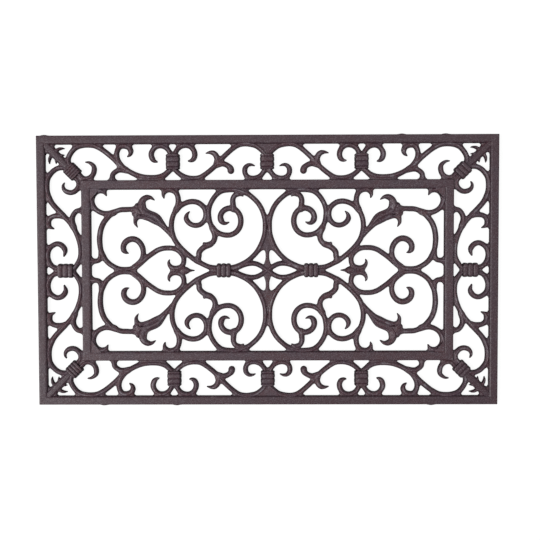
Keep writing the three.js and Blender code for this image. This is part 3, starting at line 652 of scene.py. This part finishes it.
def ripple(x, y):
    return RIPPLE_HEIGHT * sum(np.sin(x * a + y * b + phase) for a, b, phase in RIPPLE_WAVES)


def cap_of(keep, near, level):
    """Faces of a member's top surface: the cells to keep, as far as they lie inside the outline."""
    corner = cell_corners(np.where(near, 0, np.sign(level)))
    corner_id = cell_corners(np.arange(level.size).reshape(level.shape))
    outs = sum((c > 0).astype(int) for c in corner)
    ins = sum((c < 0).astype(int) for c in corner)
    whole = keep & (outs == 0) & ((ins > 0) | (cell_mean(level) < 0))
    quads = np.stack([c[whole] for c in corner_id], 1)
    tris = []
    for spot in range(4):
        partial = keep & (outs == 1) & (corner[spot] > 0) & (ins > 0)
        others = [(spot + 1) % 4, (spot + 2) % 4, (spot + 3) % 4]
        tris.append(np.stack([corner_id[k][partial] for k in others], 1))
    return quads, np.vstack(tris)


def compact(points, quads, tris):
    """The same faces on only the points that they use."""
    used = np.unique(np.concatenate([quads.ravel(), tris.ravel()]))
    new = np.full(len(points), -1)
    new[used] = np.arange(len(used))
    return points[used], new[quads], new[tris]


def mirror_cap(cap, sign_x, sign_y):
    points, quads, tris = cap
    points = points * np.array([sign_x, sign_y, 1, sign_x, sign_y, 1.0])
    if sign_x * sign_y < 0:
        quads, tris = quads[:, ::-1], tris[:, ::-1]
    return points, quads, tris


def join_caps(caps):
    """Several mirror images of a cap as one, with the points on their shared planes merged."""
    points = np.vstack([cap[0] for cap in caps])
    starts = np.cumsum([0] + [len(cap[0]) for cap in caps[:-1]])
    quads = np.vstack([cap[1] + start for cap, start in zip(caps, starts)])
    tris = np.vstack([cap[2] + start for cap, start in zip(caps, starts)])
    keys = np.round(points[:, :2] * 1e4).astype(np.int64)
    _, first, same = np.unique(keys, axis=0, return_index=True, return_inverse=True)
    same = same.ravel()
    return points[first], same[quads], same[tris]


def open_edges(quads, tris):
    """The directed edges that only one face has."""
    edges = []
    for faces in (quads, tris):
        sides = faces.shape[1]
        edges += [faces[:, [k, (k + 1) % sides]] for k in range(sides)]
    edges = np.vstack(edges)
    size = int(edges.max()) + 1
    forward = edges[:, 0].astype(np.int64) * size + edges[:, 1]
    backward = edges[:, 1].astype(np.int64) * size + edges[:, 0]
    return edges[~np.isin(forward, backward)]


def closed_casting(cap):
    """Adds a drafted wall and a flat underside to a cap. Points are x, y, z, normal x, normal y, draft."""
    points, quads, tris = cap
    edges = open_edges(quads, tris)
    rim = np.unique(edges)
    slot = np.full(len(points), -1)
    slot[rim] = np.arange(len(rim))
    skirt = points[rim, :3].copy()
    skirt[:, :2] += points[rim, 3:5] * DRAFT * points[rim, 5:6]
    skirt[:, 2] = BASE + FOOT_BEVEL
    foot = points[:, :3].copy()
    foot[:, 2] = BASE
    verts = np.vstack([points[:, :3], skirt, foot])
    low = len(points)
    under = low + len(rim)
    a, b = edges[:, 0], edges[:, 1]
    upper = np.stack([b, a, low + slot[a], low + slot[b]], 1)
    lower = np.stack([low + slot[b], low + slot[a], under + a, under + b], 1)
    quads = np.vstack([quads, upper, lower, quads[:, ::-1] + under])
    tris = np.vstack([tris, tris[:, ::-1] + under])
    return verts, quads, tris


def mesh_of(name, verts, quads, tris=None):
    """A mesh from rows of points in millimetres and faces."""
    tris = np.zeros((0, 3), int) if tris is None else tris
    verts, quads, tris = compact(verts, quads, tris)
    mesh = bpy.data.meshes.new(name)
    mesh.vertices.add(len(verts))
    mesh.vertices.foreach_set("co", (verts * MM).astype(np.float32).ravel())
    loops = np.concatenate([quads.ravel(), tris.ravel()])
    starts = np.concatenate([np.arange(len(quads)) * 4, len(quads) * 4 + np.arange(len(tris)) * 3])
    mesh.loops.add(len(loops))
    mesh.loops.foreach_set("vertex_index", loops.astype(np.int32))
    mesh.polygons.add(len(starts))
    mesh.polygons.foreach_set("loop_start", starts.astype(np.int32))
    mesh.update(calc_edges=True)
    mesh.validate()
    mesh.polygons.foreach_set("use_smooth", np.ones(len(mesh.polygons), bool))
    mesh.set_sharp_from_angle(angle=SHARP_ANGLE)
    return mesh


def add_object(name, data):
    thing = bpy.data.objects.new(name, data)
    bpy.context.scene.collection.objects.link(thing)
    return thing


def add_piece(name, node, mesh, material):
    piece = add_object(name, mesh)
    mesh.materials.append(material)
    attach(piece, "root")
    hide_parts(node)


# How much feet rub the tops of members clean, by a part of the name. It also sets how much painted sheen
# their ridges get and how much painted shade stays on their shoulders. Feet rub the others fully.
RUB_AND_SHEEN = {"outer_rail": 0.0, "inner_rail": 0.5, "collar": 0.6, "corner_leaf": 0.0, "centre_web": 0.0}


def add_iron(node, verts, quads, tris=None):
    """A member of the casting, which tells its coat how much feet rub its top, and so how much painted sheen
    it gets.
    """
    mesh = mesh_of(node, verts, quads, tris)
    share = next((share for part, share in RUB_AND_SHEEN.items() if part in node), 1.0)
    rub_and_sheen = mesh.attributes.new("rub_and_sheen", "FLOAT", "POINT")
    rub_and_sheen.data.foreach_set("value", np.full(len(mesh.vertices), share, np.float32))
    add_piece(f"cast_{node}", node, mesh, IRON)


def feed(node, values):
    """Sets or links a node's inputs, which go by name or number."""
    for key, value in values.items():
        if isinstance(value, bpy.types.NodeSocket):
            node.id_data.links.new(value, node.inputs[key])
        else:
            node.inputs[key].default_value = value


def add_node(tree, kind, values, **settings):
    node = tree.nodes.new(kind)
    for key, value in settings.items():
        setattr(node, key, value)
    feed(node, values)
    return node


def math_node(operation, first, second, clamp=False):
    """The outcome of an operation on two values, one of which at least is a socket."""
    tree = (first if isinstance(first, bpy.types.NodeSocket) else second).id_data
    node = add_node(tree, "ShaderNodeMath", {0: first, 1: second}, operation=operation, use_clamp=clamp)
    return node.outputs[0]


def times(first, second):
    return math_node("MULTIPLY", first, second)


def plus(first, second):
    return math_node("ADD", first, second)


def minus(first, second):
    """A difference, which stays at zero where it would be less."""
    return math_node("SUBTRACT", first, second, clamp=True)


def noise(point, scale, detail=3.0, roughness=0.55):
    values = {"Vector": point, "Scale": scale, "Detail": detail, "Roughness": roughness}
    return add_node(point.id_data, "ShaderNodeTexNoise", values).outputs["Fac"]


def remap(value, low, high, to_low=0.0, to_high=1.0):
    values = {"Value": value, "From Min": low, "From Max": high, "To Min": to_low, "To Max": to_high}
    node = add_node(value.id_data, "ShaderNodeMapRange", values, interpolation_type="SMOOTHSTEP")
    return node.outputs["Result"]


def mix_colour(factor, first, second):
    values = {0: factor, 6: first, 7: second}
    return add_node(factor.id_data, "ShaderNodeMix", values, data_type="RGBA").outputs[2]


def new_group(name, label, default, results):
    """An empty shader node group with one input, and the point that its noises are taken at."""
    group = bpy.data.node_groups.new(name, "ShaderNodeTree")
    socket = group.interface.new_socket(label, in_out="INPUT", socket_type="NodeSocketFloat")
    socket.default_value = default
    for result in results:
        group.interface.new_socket(result, in_out="OUTPUT", socket_type="NodeSocketFloat")
    given = group.nodes.new("NodeGroupInput").outputs[label]
    point = group.nodes.new("ShaderNodeTexCoord").outputs["Object"]
    return group, given, point, group.nodes.new("NodeGroupOutput")


def sand_grain_group():
    """Fine grain that moulding sand leaves under a coating."""
    group, grain_size, point, result = new_group("sand_grain", "Grain Size", 1.0, ("Height", "Pits"))
    scale = math_node("DIVIDE", 1.0, grain_size)
    fine = noise(point, times(scale, 1500.0), 2.0)
    coarse = noise(point, times(scale, 420.0))
    broad = noise(point, times(scale, 90.0), 2.0)
    height = plus(plus(times(fine, 0.35), times(coarse, 0.45)), times(broad, 0.5))
    feed(result, {"Height": height, "Pits": remap(coarse, 0.60, 0.72)})
    return group


def edge_wear_group():
    """Wear where feet and handling reach: on sharp places, broken up by noise; and the patches that break up
    the painted sheen on the ridges.
    """
    group, amount, point, result = new_group("edge_wear", "Amount", 0.5, ("Mask", "Sheen Patches"))
    pointed = group.nodes.new("ShaderNodeNewGeometry").outputs["Pointiness"]
    patches = remap(noise(point, 55.0, 4.0, 0.65), 0.54, 0.66)
    specks = remap(noise(point, 480.0, 2.0), 0.5, 0.6)
    worn = times(remap(pointed, 0.51, 0.54), times(patches, specks))
    worn = math_node("MULTIPLY", worn, amount, clamp=True)
    feed(result, {"Mask": worn, "Sheen Patches": remap(noise(point, 75.0, 3.0, 0.6), 0.52, 0.68)})
    return group


def tone_drift_group():
    """Slow changes of tone across a surface, finer mottling and speckle."""
    labels = ("Slow", "Middle", "Fine", "Speckle")
    group, size, point, result = new_group("tone_drift", "Size", 1.0, labels)
    scale = math_node("DIVIDE", 1.0, size)
    slow = remap(noise(point, times(scale, 14.0)), 0.3, 0.7)
    middle = remap(noise(point, times(scale, 70.0)), 0.35, 0.65)
    fine = remap(noise(point, times(scale, 260.0), 4.0, 0.7), 0.3, 0.7)
    speckle = remap(noise(point, times(scale, 620.0), 1.0), 0.49, 0.66)
    feed(result, {"Slow": slow, "Middle": middle, "Fine": fine, "Speckle": speckle})
    return group


def new_material(name):
    material = bpy.data.materials.new(name)
    material.use_nodes = True
    tree = material.node_tree
    tree.nodes.clear()
    shader = tree.nodes.new("ShaderNodeBsdfPrincipled")
    add_node(tree, "ShaderNodeOutputMaterial", {"Surface": shader.outputs["BSDF"]})
    return material, tree, shader


def add_bump(shader, height, strength, distance):
    values = {"Height": height, "Strength": strength, "Distance": distance}
    bump = add_node(shader.id_data, "ShaderNodeBump", values)
    feed(shader, {"Normal": bump.outputs["Normal"]})


def grey(value):
    return (value, value, value, 1)


# Heights over the casting's underside between which the coat changes: from the hollows, which are painted in
# shade, up to the bars' flanks;
# on the shoulders of the bars, the height from which what feet don't rub gets grime and painted shade; on
# their ridges, which get a painted sheen; and on what stands over them, which gets grime.
FLANKS = (2.5, 6.4)
SHOULDERS = (5.2, 6.8)
RIDGES = (6.5, 7.2)
OVER_BARS = (7.7, 8.2)

# Colours of the iron's coat, and of the shade and sheen painted into it.
PAINTED_SHADE_COLOUR = (0.012, 0.006, 0.0085, 1)
FLAT_COLOUR = (0.043, 0.0205, 0.0335, 1)
WARM_COLOUR = (0.058, 0.016, 0.0205, 1)
GRIME_AND_SHADE_COLOUR = (0.0185, 0.0028, 0.0085, 1)
SPECK_COLOUR = (0.105, 0.084, 0.100, 1)
MOTTLE_COLOUR = (0.022, 0.015, 0.018, 1)
PAINTED_SHEEN_COLOUR = (0.17, 0.155, 0.175, 1)
WORN_COLOUR = (0.23, 0.21, 0.22, 1)


def coated_iron():
    """Cast iron under a thin satin brown coating, worn to grey on the edges, with painted shade in the
    hollows and a painted sheen on the ridges.
    """
    material, tree, shader = new_material("coated_iron")
    grain = add_node(tree, "ShaderNodeGroup", {"Grain Size": 1.0}, node_tree=SAND_GRAIN).outputs
    wear = add_node(tree, "ShaderNodeGroup", {"Amount": 0.7}, node_tree=EDGE_WEAR).outputs
    drift = add_node(tree, "ShaderNodeGroup", {"Size": 1.0}, node_tree=TONE_DRIFT).outputs
    surface = tree.nodes.new("ShaderNodeNewGeometry").outputs
    z = add_node(tree, "ShaderNodeSeparateXYZ", {0: surface["Position"]}).outputs["Z"]
    facing_up = add_node(tree, "ShaderNodeSeparateXYZ", {0: surface["Normal"]}).outputs["Z"]

    def above(low, high):
        """Rises from 0 to 1 between two heights over the casting's underside."""
        return remap(z, (BASE + low) * MM, (BASE + high) * MM)

    patchy = plus(times(drift["Slow"], 0.5), times(drift["Middle"], 0.5))
    coat = mix_colour(patchy, FLAT_COLOUR, WARM_COLOUR)
    # Grime stays on what stands over the bars. On the shoulders of what feet don't rub, such as the rails'
    # bevels, the same darker colour stands partly for grime and partly for painted shade.
    rub_and_sheen = add_node(tree, "ShaderNodeAttribute", {}, attribute_name="rub_and_sheen").outputs["Fac"]
    over_bars = above(*OVER_BARS)
    grime_and_shade = minus(over_bars, times(rub_and_sheen, 0.6))
    grime_and_shade = math_node("MAXIMUM", grime_and_shade, times(above(*SHOULDERS), minus(1.0, rub_and_sheen)))
    coat = mix_colour(times(grime_and_shade, 0.65), coat, GRIME_AND_SHADE_COLOUR)
    specks = times(drift["Speckle"], minus(0.85, times(grime_and_shade, 0.35)))
    coat = mix_colour(specks, coat, SPECK_COLOUR)
    # Painted shade: slopes that face away from straight up, and low places, take the dark shade colour
    # instead of the coat.
    lit = times(remap(facing_up, 0.4, 0.9), above(*FLANKS))
    coat = mix_colour(lit, PAINTED_SHADE_COLOUR, coat)
    coat = mix_colour(times(drift["Fine"], 0.35), coat, MOTTLE_COLOUR)
    # Painted highlight: the ridges of what feet rub get a lighter grey sheen painted into the coat, in
    # patches.
    ridge = times(minus(above(*RIDGES), over_bars), rub_and_sheen)
    coat = mix_colour(times(ridge, times(wear["Sheen Patches"], 0.5)), coat, PAINTED_SHEEN_COLOUR)
    coat = mix_colour(wear["Mask"], coat, WORN_COLOUR)
    rough = remap(drift["Fine"], 0.0, 1.0, 0.38, 0.56)
    gloss = remap(lit, 0.0, 1.0, 0.05, 0.4)
    feed(shader, {"Base Color": coat, "Roughness": rough, "Metallic": 0.0, "Specular IOR Level": gloss})
    add_bump(shader, grain["Height"], 0.6, 0.0005)
    return material


# Colours of the pads.
RUBBER_COLOUR = (0.016, 0.016, 0.017, 1)
FADED_COLOUR = (0.026, 0.025, 0.024, 1)
DUST_COLOUR = (0.07, 0.067, 0.062, 1)


def pad_rubber():
    """Matt black rubber with fine moulding marks and a little dust."""
    material, tree, shader = new_material("pad_rubber")
    grain = add_node(tree, "ShaderNodeGroup", {"Grain Size": 0.6}, node_tree=SAND_GRAIN).outputs
    drift = add_node(tree, "ShaderNodeGroup", {"Size": 0.3}, node_tree=TONE_DRIFT).outputs
    coat = mix_colour(drift["Slow"], RUBBER_COLOUR, FADED_COLOUR)
    coat = mix_colour(times(grain["Pits"], 0.3), coat, DUST_COLOUR)
    feed(shader, {"Base Color": coat, "Roughness": remap(drift["Fine"], 0.0, 1.0, 0.72, 0.9)})
    add_bump(shader, grain["Height"], 0.2, 0.0002)
    return material


# The pale floor is lit from below, as a light table is, so the mat's own shadow stays faint.
FLOOR_GREY = 0.15
FLOOR_ROUGHNESS = 0.9
FLOOR_GLOW = 0.87


def studio_floor():
    material, _, shader = new_material("studio_floor")
    feed(shader, {"Base Color": grey(FLOOR_GREY), "Roughness": FLOOR_ROUGHNESS})
    feed(shader, {"Emission Color": grey(1.0), "Emission Strength": FLOOR_GLOW})
    return material


SAND_GRAIN = sand_grain_group()
EDGE_WEAR = edge_wear_group()
TONE_DRIFT = tone_drift_group()
IRON = coated_iron()
RUBBER = pad_rubber()

SIDES = {"right": 1, "left": -1}
ENDS = {"back": 1, "front": -1}
QUARTERS = {f"{end}_{side}": (x, y) for end, y in ENDS.items() for side, x in SIDES.items()}


def member_caps():
    """The top surface of each member, in the quarter with +X and +Y."""
    outline, height, members, rails = casting_fields()
    level = outline + DRAFT
    x, y, near, normal = snapped_grid(level)
    surface = bilinear(height, x.ravel(), y.ravel()) + ripple(x.ravel(), y.ravel())
    points = np.stack([x.ravel(), y.ravel(), surface + BASE], 1)
    points = np.hstack([points, normal.reshape(-1, 2), near.reshape(-1, 1)])
    names = list(members)
    stack = np.stack([cell_mean(members[name]) for name in names])
    owner = stack.argmin(0)
    nearest = stack.min(0)
    middle_x, middle_y = cell_mean(MESH_X), cell_mean(MESH_Y)
    allowed = (middle_x > 0) & (middle_y > 0)
    allowed &= cell_mean(rails) > -RAIL_OVERLAP
    allowed &= nearest < FILLET
    caps = {}
    for number, name in enumerate(names):
        quads, tris = cap_of(allowed & (owner == number), near, level)
        caps[name] = compact(points, quads, tris)
    return caps


def add_member(node, cap, images):
    """A member made of its cap's mirror images, each given as its signs along x and y."""
    caps = [mirror_cap(cap, sign_x, sign_y) for sign_x, sign_y in images]
    cap = join_caps(caps) if len(caps) > 1 else caps[0]
    add_iron(node, *closed_casting(cap))


def add_members():
    caps = member_caps()
    for name in QUARTER_MEMBERS:
        for quarter, signs in QUARTERS.items():
            add_member(f"{name}_{quarter}", caps[name], [signs])
    for side, sign in SIDES.items():
        add_member(f"heart_scroll_{side}", caps["heart_scroll"], [(sign, 1), (sign, -1)])
    for side, sign in ENDS.items():
        add_member(f"centre_web_{side}", caps["centre_web"], [(1, sign), (-1, sign)])
    add_member("centre_rosette", caps["centre_rosette"], QUARTERS.values())


def ring_quads(number):
    """The faces between closed rings of numbered points."""
    ahead = np.roll(number, -1, axis=1)
    return np.stack([number[:-1], ahead[:-1], ahead[1:], number[1:]], -1).reshape(-1, 4)


def lofted(rings):
    """Faces of a closed solid from rings that all have the same even number of points."""
    rings = np.asarray(rings, float)
    count, sides = rings.shape[:2]
    number = np.arange(count * sides).reshape(count, sides)
    caps = []
    for ring, flip in ((0, True), (count - 1, False)):
        # The end is filled by quads between its two halves.
        half = sides // 2
        for k in range(half - 1):
            face = number[ring, [k, k + 1, sides - 2 - k, sides - 1 - k]]
            caps.append(face[::-1] if flip else face)
    return rings.reshape(-1, 3), np.vstack([ring_quads(number), caps])


# Spacing of the points along the rails, and the round of their outer edge.
RAIL_STEP = 3.0
RAIL_EDGE = 1.5
EDGE_POINTS = 5
# The bevel on the inner side: how far in it begins, how deep it falls, and the flat beside it.
BEVEL_RUN = 2.6
BEVEL_DROP = 2.2
BEVEL_LIP = 0.5
# Points of the bevel: how far from the rail's inner face, and how far below its top.
BEVEL = ((BEVEL_RUN - 0.25, 0.16), (0.9, BEVEL_DROP - 0.75), (0.25, BEVEL_DROP), (0, BEVEL_DROP + BEVEL_LIP))
INNER_FRAME_DRAFT = 0.35
# How far the flat underside keeps from the walls, and where the walls have a row of points, as shares of
# the height.
FOOT_FLAT_INSET = 0.5
OUTER_WALL_ROW = 0.45
INNER_WALL_ROW = 0.4


def rail_profile(width, draft):
    """The rail's section, as inward distance and height: rounded outside, bevelled inside."""
    top = RAIL_HEIGHT
    profile = [(0.0, FOOT_BEVEL), (0.0, top * OUTER_WALL_ROW)]
    for a in np.radians(np.linspace(180, 90, EDGE_POINTS)):
        profile.append((RAIL_EDGE + RAIL_EDGE * math.cos(a), top - RAIL_EDGE + RAIL_EDGE * math.sin(a)))
    flats = np.linspace(RAIL_EDGE, width - BEVEL_RUN - BEVEL_LIP, EDGE_POINTS)[1:]
    profile += [(inward, top) for inward in flats]
    profile += [(width - out, top - below) for out, below in BEVEL]
    profile += [(width + draft / 2, top * INNER_WALL_ROW), (width + draft, FOOT_BEVEL)]
    profile += [(width - FOOT_FLAT_INSET, 0.0), (width / 2, 0.0), (FOOT_FLAT_INSET, 0.0)]
    return profile


def add_rail(node, half_long, half_short, width, quarter_turns):
    """One mitred rail on the +Y side, turned to its place. The inner frame's walls have a draft."""
    profile = rail_profile(width, INNER_FRAME_DRAFT if node.startswith("inner") else 0)
    steps = math.ceil(2 * half_long / RAIL_STEP)
    rings = []
    for share in np.linspace(-1, 1, steps + 1):
        ring = []
        for inward, up in profile:
            x = share * (half_long - inward)
            near = [x - s for s in STUBS.get(node, ()) if abs(x - s) < STUB_LENGTH / 2]
            out = sum(max(0.0, math.cos(gap * math.pi / STUB_LENGTH)) for gap in near)
            swell = STUB_STAND_OFF * out * (inward == 0)
            ring.append((x, half_short - inward + swell, up))
        rings.append(ring)
    verts, quads = lofted(rings)
    turn = quarter_turns * math.pi / 2
    x, y = verts[:, 0].copy(), verts[:, 1].copy()
    verts[:, 0] = x * math.cos(turn) - y * math.sin(turn)
    verts[:, 1] = x * math.sin(turn) + y * math.cos(turn)
    top = verts[:, 2] > RAIL_HEIGHT / 2
    verts[top, 2] += ripple(verts[top, 0], verts[top, 1])
    verts[:, 2] += BASE
    add_iron(node, verts, quads)


def add_rails():
    for frame_name, first, last in (("outer", 3, 4), ("inner", 1, 2)):
        for turns, side in enumerate(("back", "left", "front", "right")):
            along, across = (EDGE_Y, EDGE_X) if turns % 2 else (EDGE_X, EDGE_Y)
            width = EDGE_X[last] - EDGE_X[first]
            add_rail(f"{frame_name}_rail_{side}", along[last], across[last], width, turns)


COLLAR_WALL = 3.4
COLLAR_HEIGHT = 10
# Depth of the grooves between broad ribs, and between fine ones, which is what five or more are.
RIB_DEPTH = 1.4
FINE_RIB_DEPTH = 0.91
FINE_RIBS = 5
# How flat the ribs are on top, and how many rings of points each one has.
RIB_FLATNESS = 0.55
RINGS_PER_RIB = 16
# How far the crown and the flanks round off at a collar's ends, and over what length.
CROWN_END_ROUND = 0.9
CROWN_END_RUN = 0.9
FLANK_END_ROUND = 1.7
FLANK_END_RUN = 2.4
# The collar's flank, from its foot up: how far inside the widest line, and share of the height. Then the
# flat crown's share of the width.
COLLAR_FLANK = ((0, 0), (0.1, 0.35), (0.5, 0.56), (1.1, 0.73), (1.9, 0.88), (2.7, 0.96), (3.7, 0.995))
CROWN_SHARE = 0.3


def collar_ring(half, top):
    """A saddle section: flanks that slope inwards as they rise, and a flat crown."""
    flank = [(half - inset, top * share) for inset, share in COLLAR_FLANK]
    crown = [(half * CROWN_SHARE, top), (-half * CROWN_SHARE, top)]
    return flank + crown + [(-across, up) for across, up in reversed(flank)]


def add_collar(node, collar, sign_x, sign_y):
    """A ribbed collar, mirrored to its place."""
    half = PAIR_OFFSET + SCROLL_WIDTH / 2 + COLLAR_WALL
    ribs = collar["ribs"]
    steps = ribs * RINGS_PER_RIB
    middle, along, left = collar_axes(collar)
    depth = RIB_DEPTH if ribs < FINE_RIBS else FINE_RIB_DEPTH
    rings = []
    for step in range(steps + 1):
        share = step / steps
        groove = 1 - abs(math.sin((share * ribs + collar["rim"]) * math.pi)) ** RIB_FLATNESS
        from_end = min(share, 1 - share) * collar["length"]
        crown_end = max(0.0, 1 - from_end / CROWN_END_RUN)
        flank_end = max(0.0, 1 - from_end / FLANK_END_RUN)
        sunk = depth * groove + CROWN_END_ROUND * crown_end**2
        flank_in = collar["notch"] * depth * groove + FLANK_END_ROUND * flank_end**2
        ring = []
        for across, up in collar_ring(half - flank_in, COLLAR_HEIGHT - sunk):
            spot = middle + along * (share - 0.5) * collar["length"] + left * across
            ring.append((spot.x * sign_x, spot.y * sign_y, up + BASE))
        rings.append(ring)
    if sign_x * sign_y < 0:
        rings = [ring[::-1] for ring in rings]
    add_iron(node, *lofted(rings))


def add_collars():
    for quarter, signs in QUARTERS.items():
        corner = {**CORNER_COLLAR, "ribs": CORNER_RIBS[quarter]}
        add_collar(f"corner_collar_{quarter}", corner, *signs)
        add_collar(f"border_collar_{quarter}", BORDER_COLLAR, *signs)
    for side, sign in SIDES.items():
        add_collar(f"side_collar_{side}", SIDE_COLLAR, sign, 1)
        add_collar(f"panel_collar_{side}", PANEL_COLLAR, sign, 1)
    for side, sign in ENDS.items():
        add_collar(f"centre_collar_{side}", CENTRE_COLLAR, 1, sign)


PAD_SIDES = 48
# The pad's rounded foot: how far inside its rim, and height. Its top is sunk into the casting.
PAD_FOOT = ((1.1, 0.0), (0.5, 0.15), (0.15, 0.5), (0.0, 1.0))
PAD_SUNK = 0.8
PAD_TOP_EDGE = 1.0


def add_pad(node):
    """A low round rubber pad with a flat foot, turned about its own axis."""
    low, high = box_mm(node)
    middle = (low + high) / 2
    radius = (high.y - low.y) / 2
    height = high.z - low.z
    profile = [(radius - inside, up) for inside, up in PAD_FOOT]
    profile += [(radius, height + PAD_SUNK / 2), (radius - PAD_TOP_EDGE, height + PAD_SUNK)]
    verts = [(middle.x, middle.y, low.z)]
    for out, up in profile:
        for k in range(PAD_SIDES):
            a = 2 * math.pi * k / PAD_SIDES
            verts.append((middle.x + out * math.cos(a), middle.y + out * math.sin(a), low.z + up))
    verts.append((middle.x, middle.y, low.z + height + PAD_SUNK))
    number = np.arange(len(profile) * PAD_SIDES).reshape(len(profile), PAD_SIDES) + 1
    ahead = np.roll(number, -1, axis=1)
    last = len(verts) - 1
    tris = [(0, ahead[0, k], number[0, k]) for k in range(PAD_SIDES)]
    tris += [(last, number[-1, k], ahead[-1, k]) for k in range(PAD_SIDES)]
    mesh = mesh_of(node, np.array(verts), ring_quads(number), np.array(tris))
    add_piece(f"rubber_{node}", node, mesh, RUBBER)


# The camera, fitted to the four outer corners of the frame in the photograph, in metres and degrees.
CAMERA_DISTANCE = 1.4
CAMERA_TILT = -2.3875
CAMERA_YAW = 0.5652
CAMERA_ROLL = -0.14
CAMERA_AIM = (0.003948, 0.000323, 0)
FOCAL_PIXELS = 889.94
IMAGE_PIXELS = 540
SENSOR_WIDTH = 36


def add_camera():
    data = bpy.data.cameras.new("camera")
    camera = add_object("camera", data)
    data.sensor_width = SENSOR_WIDTH
    data.lens = FOCAL_PIXELS / IMAGE_PIXELS * SENSOR_WIDTH
    turn = (Matrix.Rotation(math.radians(CAMERA_TILT), 4, "X")
            @ Matrix.Rotation(math.radians(CAMERA_YAW), 4, "Y")
            @ Matrix.Rotation(math.radians(CAMERA_ROLL), 4, "Z"))
    camera.matrix_world = Matrix.Translation(CAMERA_AIM) @ turn @ Matrix.Translation((0, 0, CAMERA_DISTANCE))
    bpy.context.scene.camera = camera


# Square soft lights that face the mat: name, place, side in metres and power in watts.
LIGHTS = (("left_softbox", (-2.6, -0.9, 3.0), 2.6, 158), ("overhead", (0.4, 0.5, 2.2), 2.2, 15))
SURROUND_STRENGTH = 0.5
# Half of the floor's side, in metres.
FLOOR_HALF = 12


def add_light(name, spot, side, power):
    data = bpy.data.lights.new(name, "AREA")
    data.shape = "RECTANGLE"
    data.size, data.size_y = side, side
    data.energy = power
    light = add_object(name, data)
    light.location = spot
    light.rotation_euler = (-Vector(spot)).to_track_quat("-Z", "Y").to_euler()


def add_studio():
    """A pale floor, a large soft light from the left, a weak one overhead and an even surround."""
    mesh = bpy.data.meshes.new("studio_floor")
    corners = [(x * FLOOR_HALF, y * FLOOR_HALF, 0) for x, y in ((-1, -1), (1, -1), (1, 1), (-1, 1))]
    mesh.from_pydata(corners, [], [(0, 1, 2, 3)])
    mesh.materials.append(studio_floor())
    floor = add_object("studio_floor", mesh)
    for light in LIGHTS:
        add_light(*light)
    world = bpy.data.worlds.new("surround")
    bpy.context.scene.world = world
    world.use_nodes = True
    feed(world.node_tree.nodes["Background"], {"Color": grey(1.0), "Strength": SURROUND_STRENGTH})
    bpy.context.scene.view_settings.view_transform = "Standard"


add_camera()
add_studio()
add_rails()
add_members()
add_collars()
for quarter in QUARTERS:
    add_pad(f"foot_pad_{quarter}")
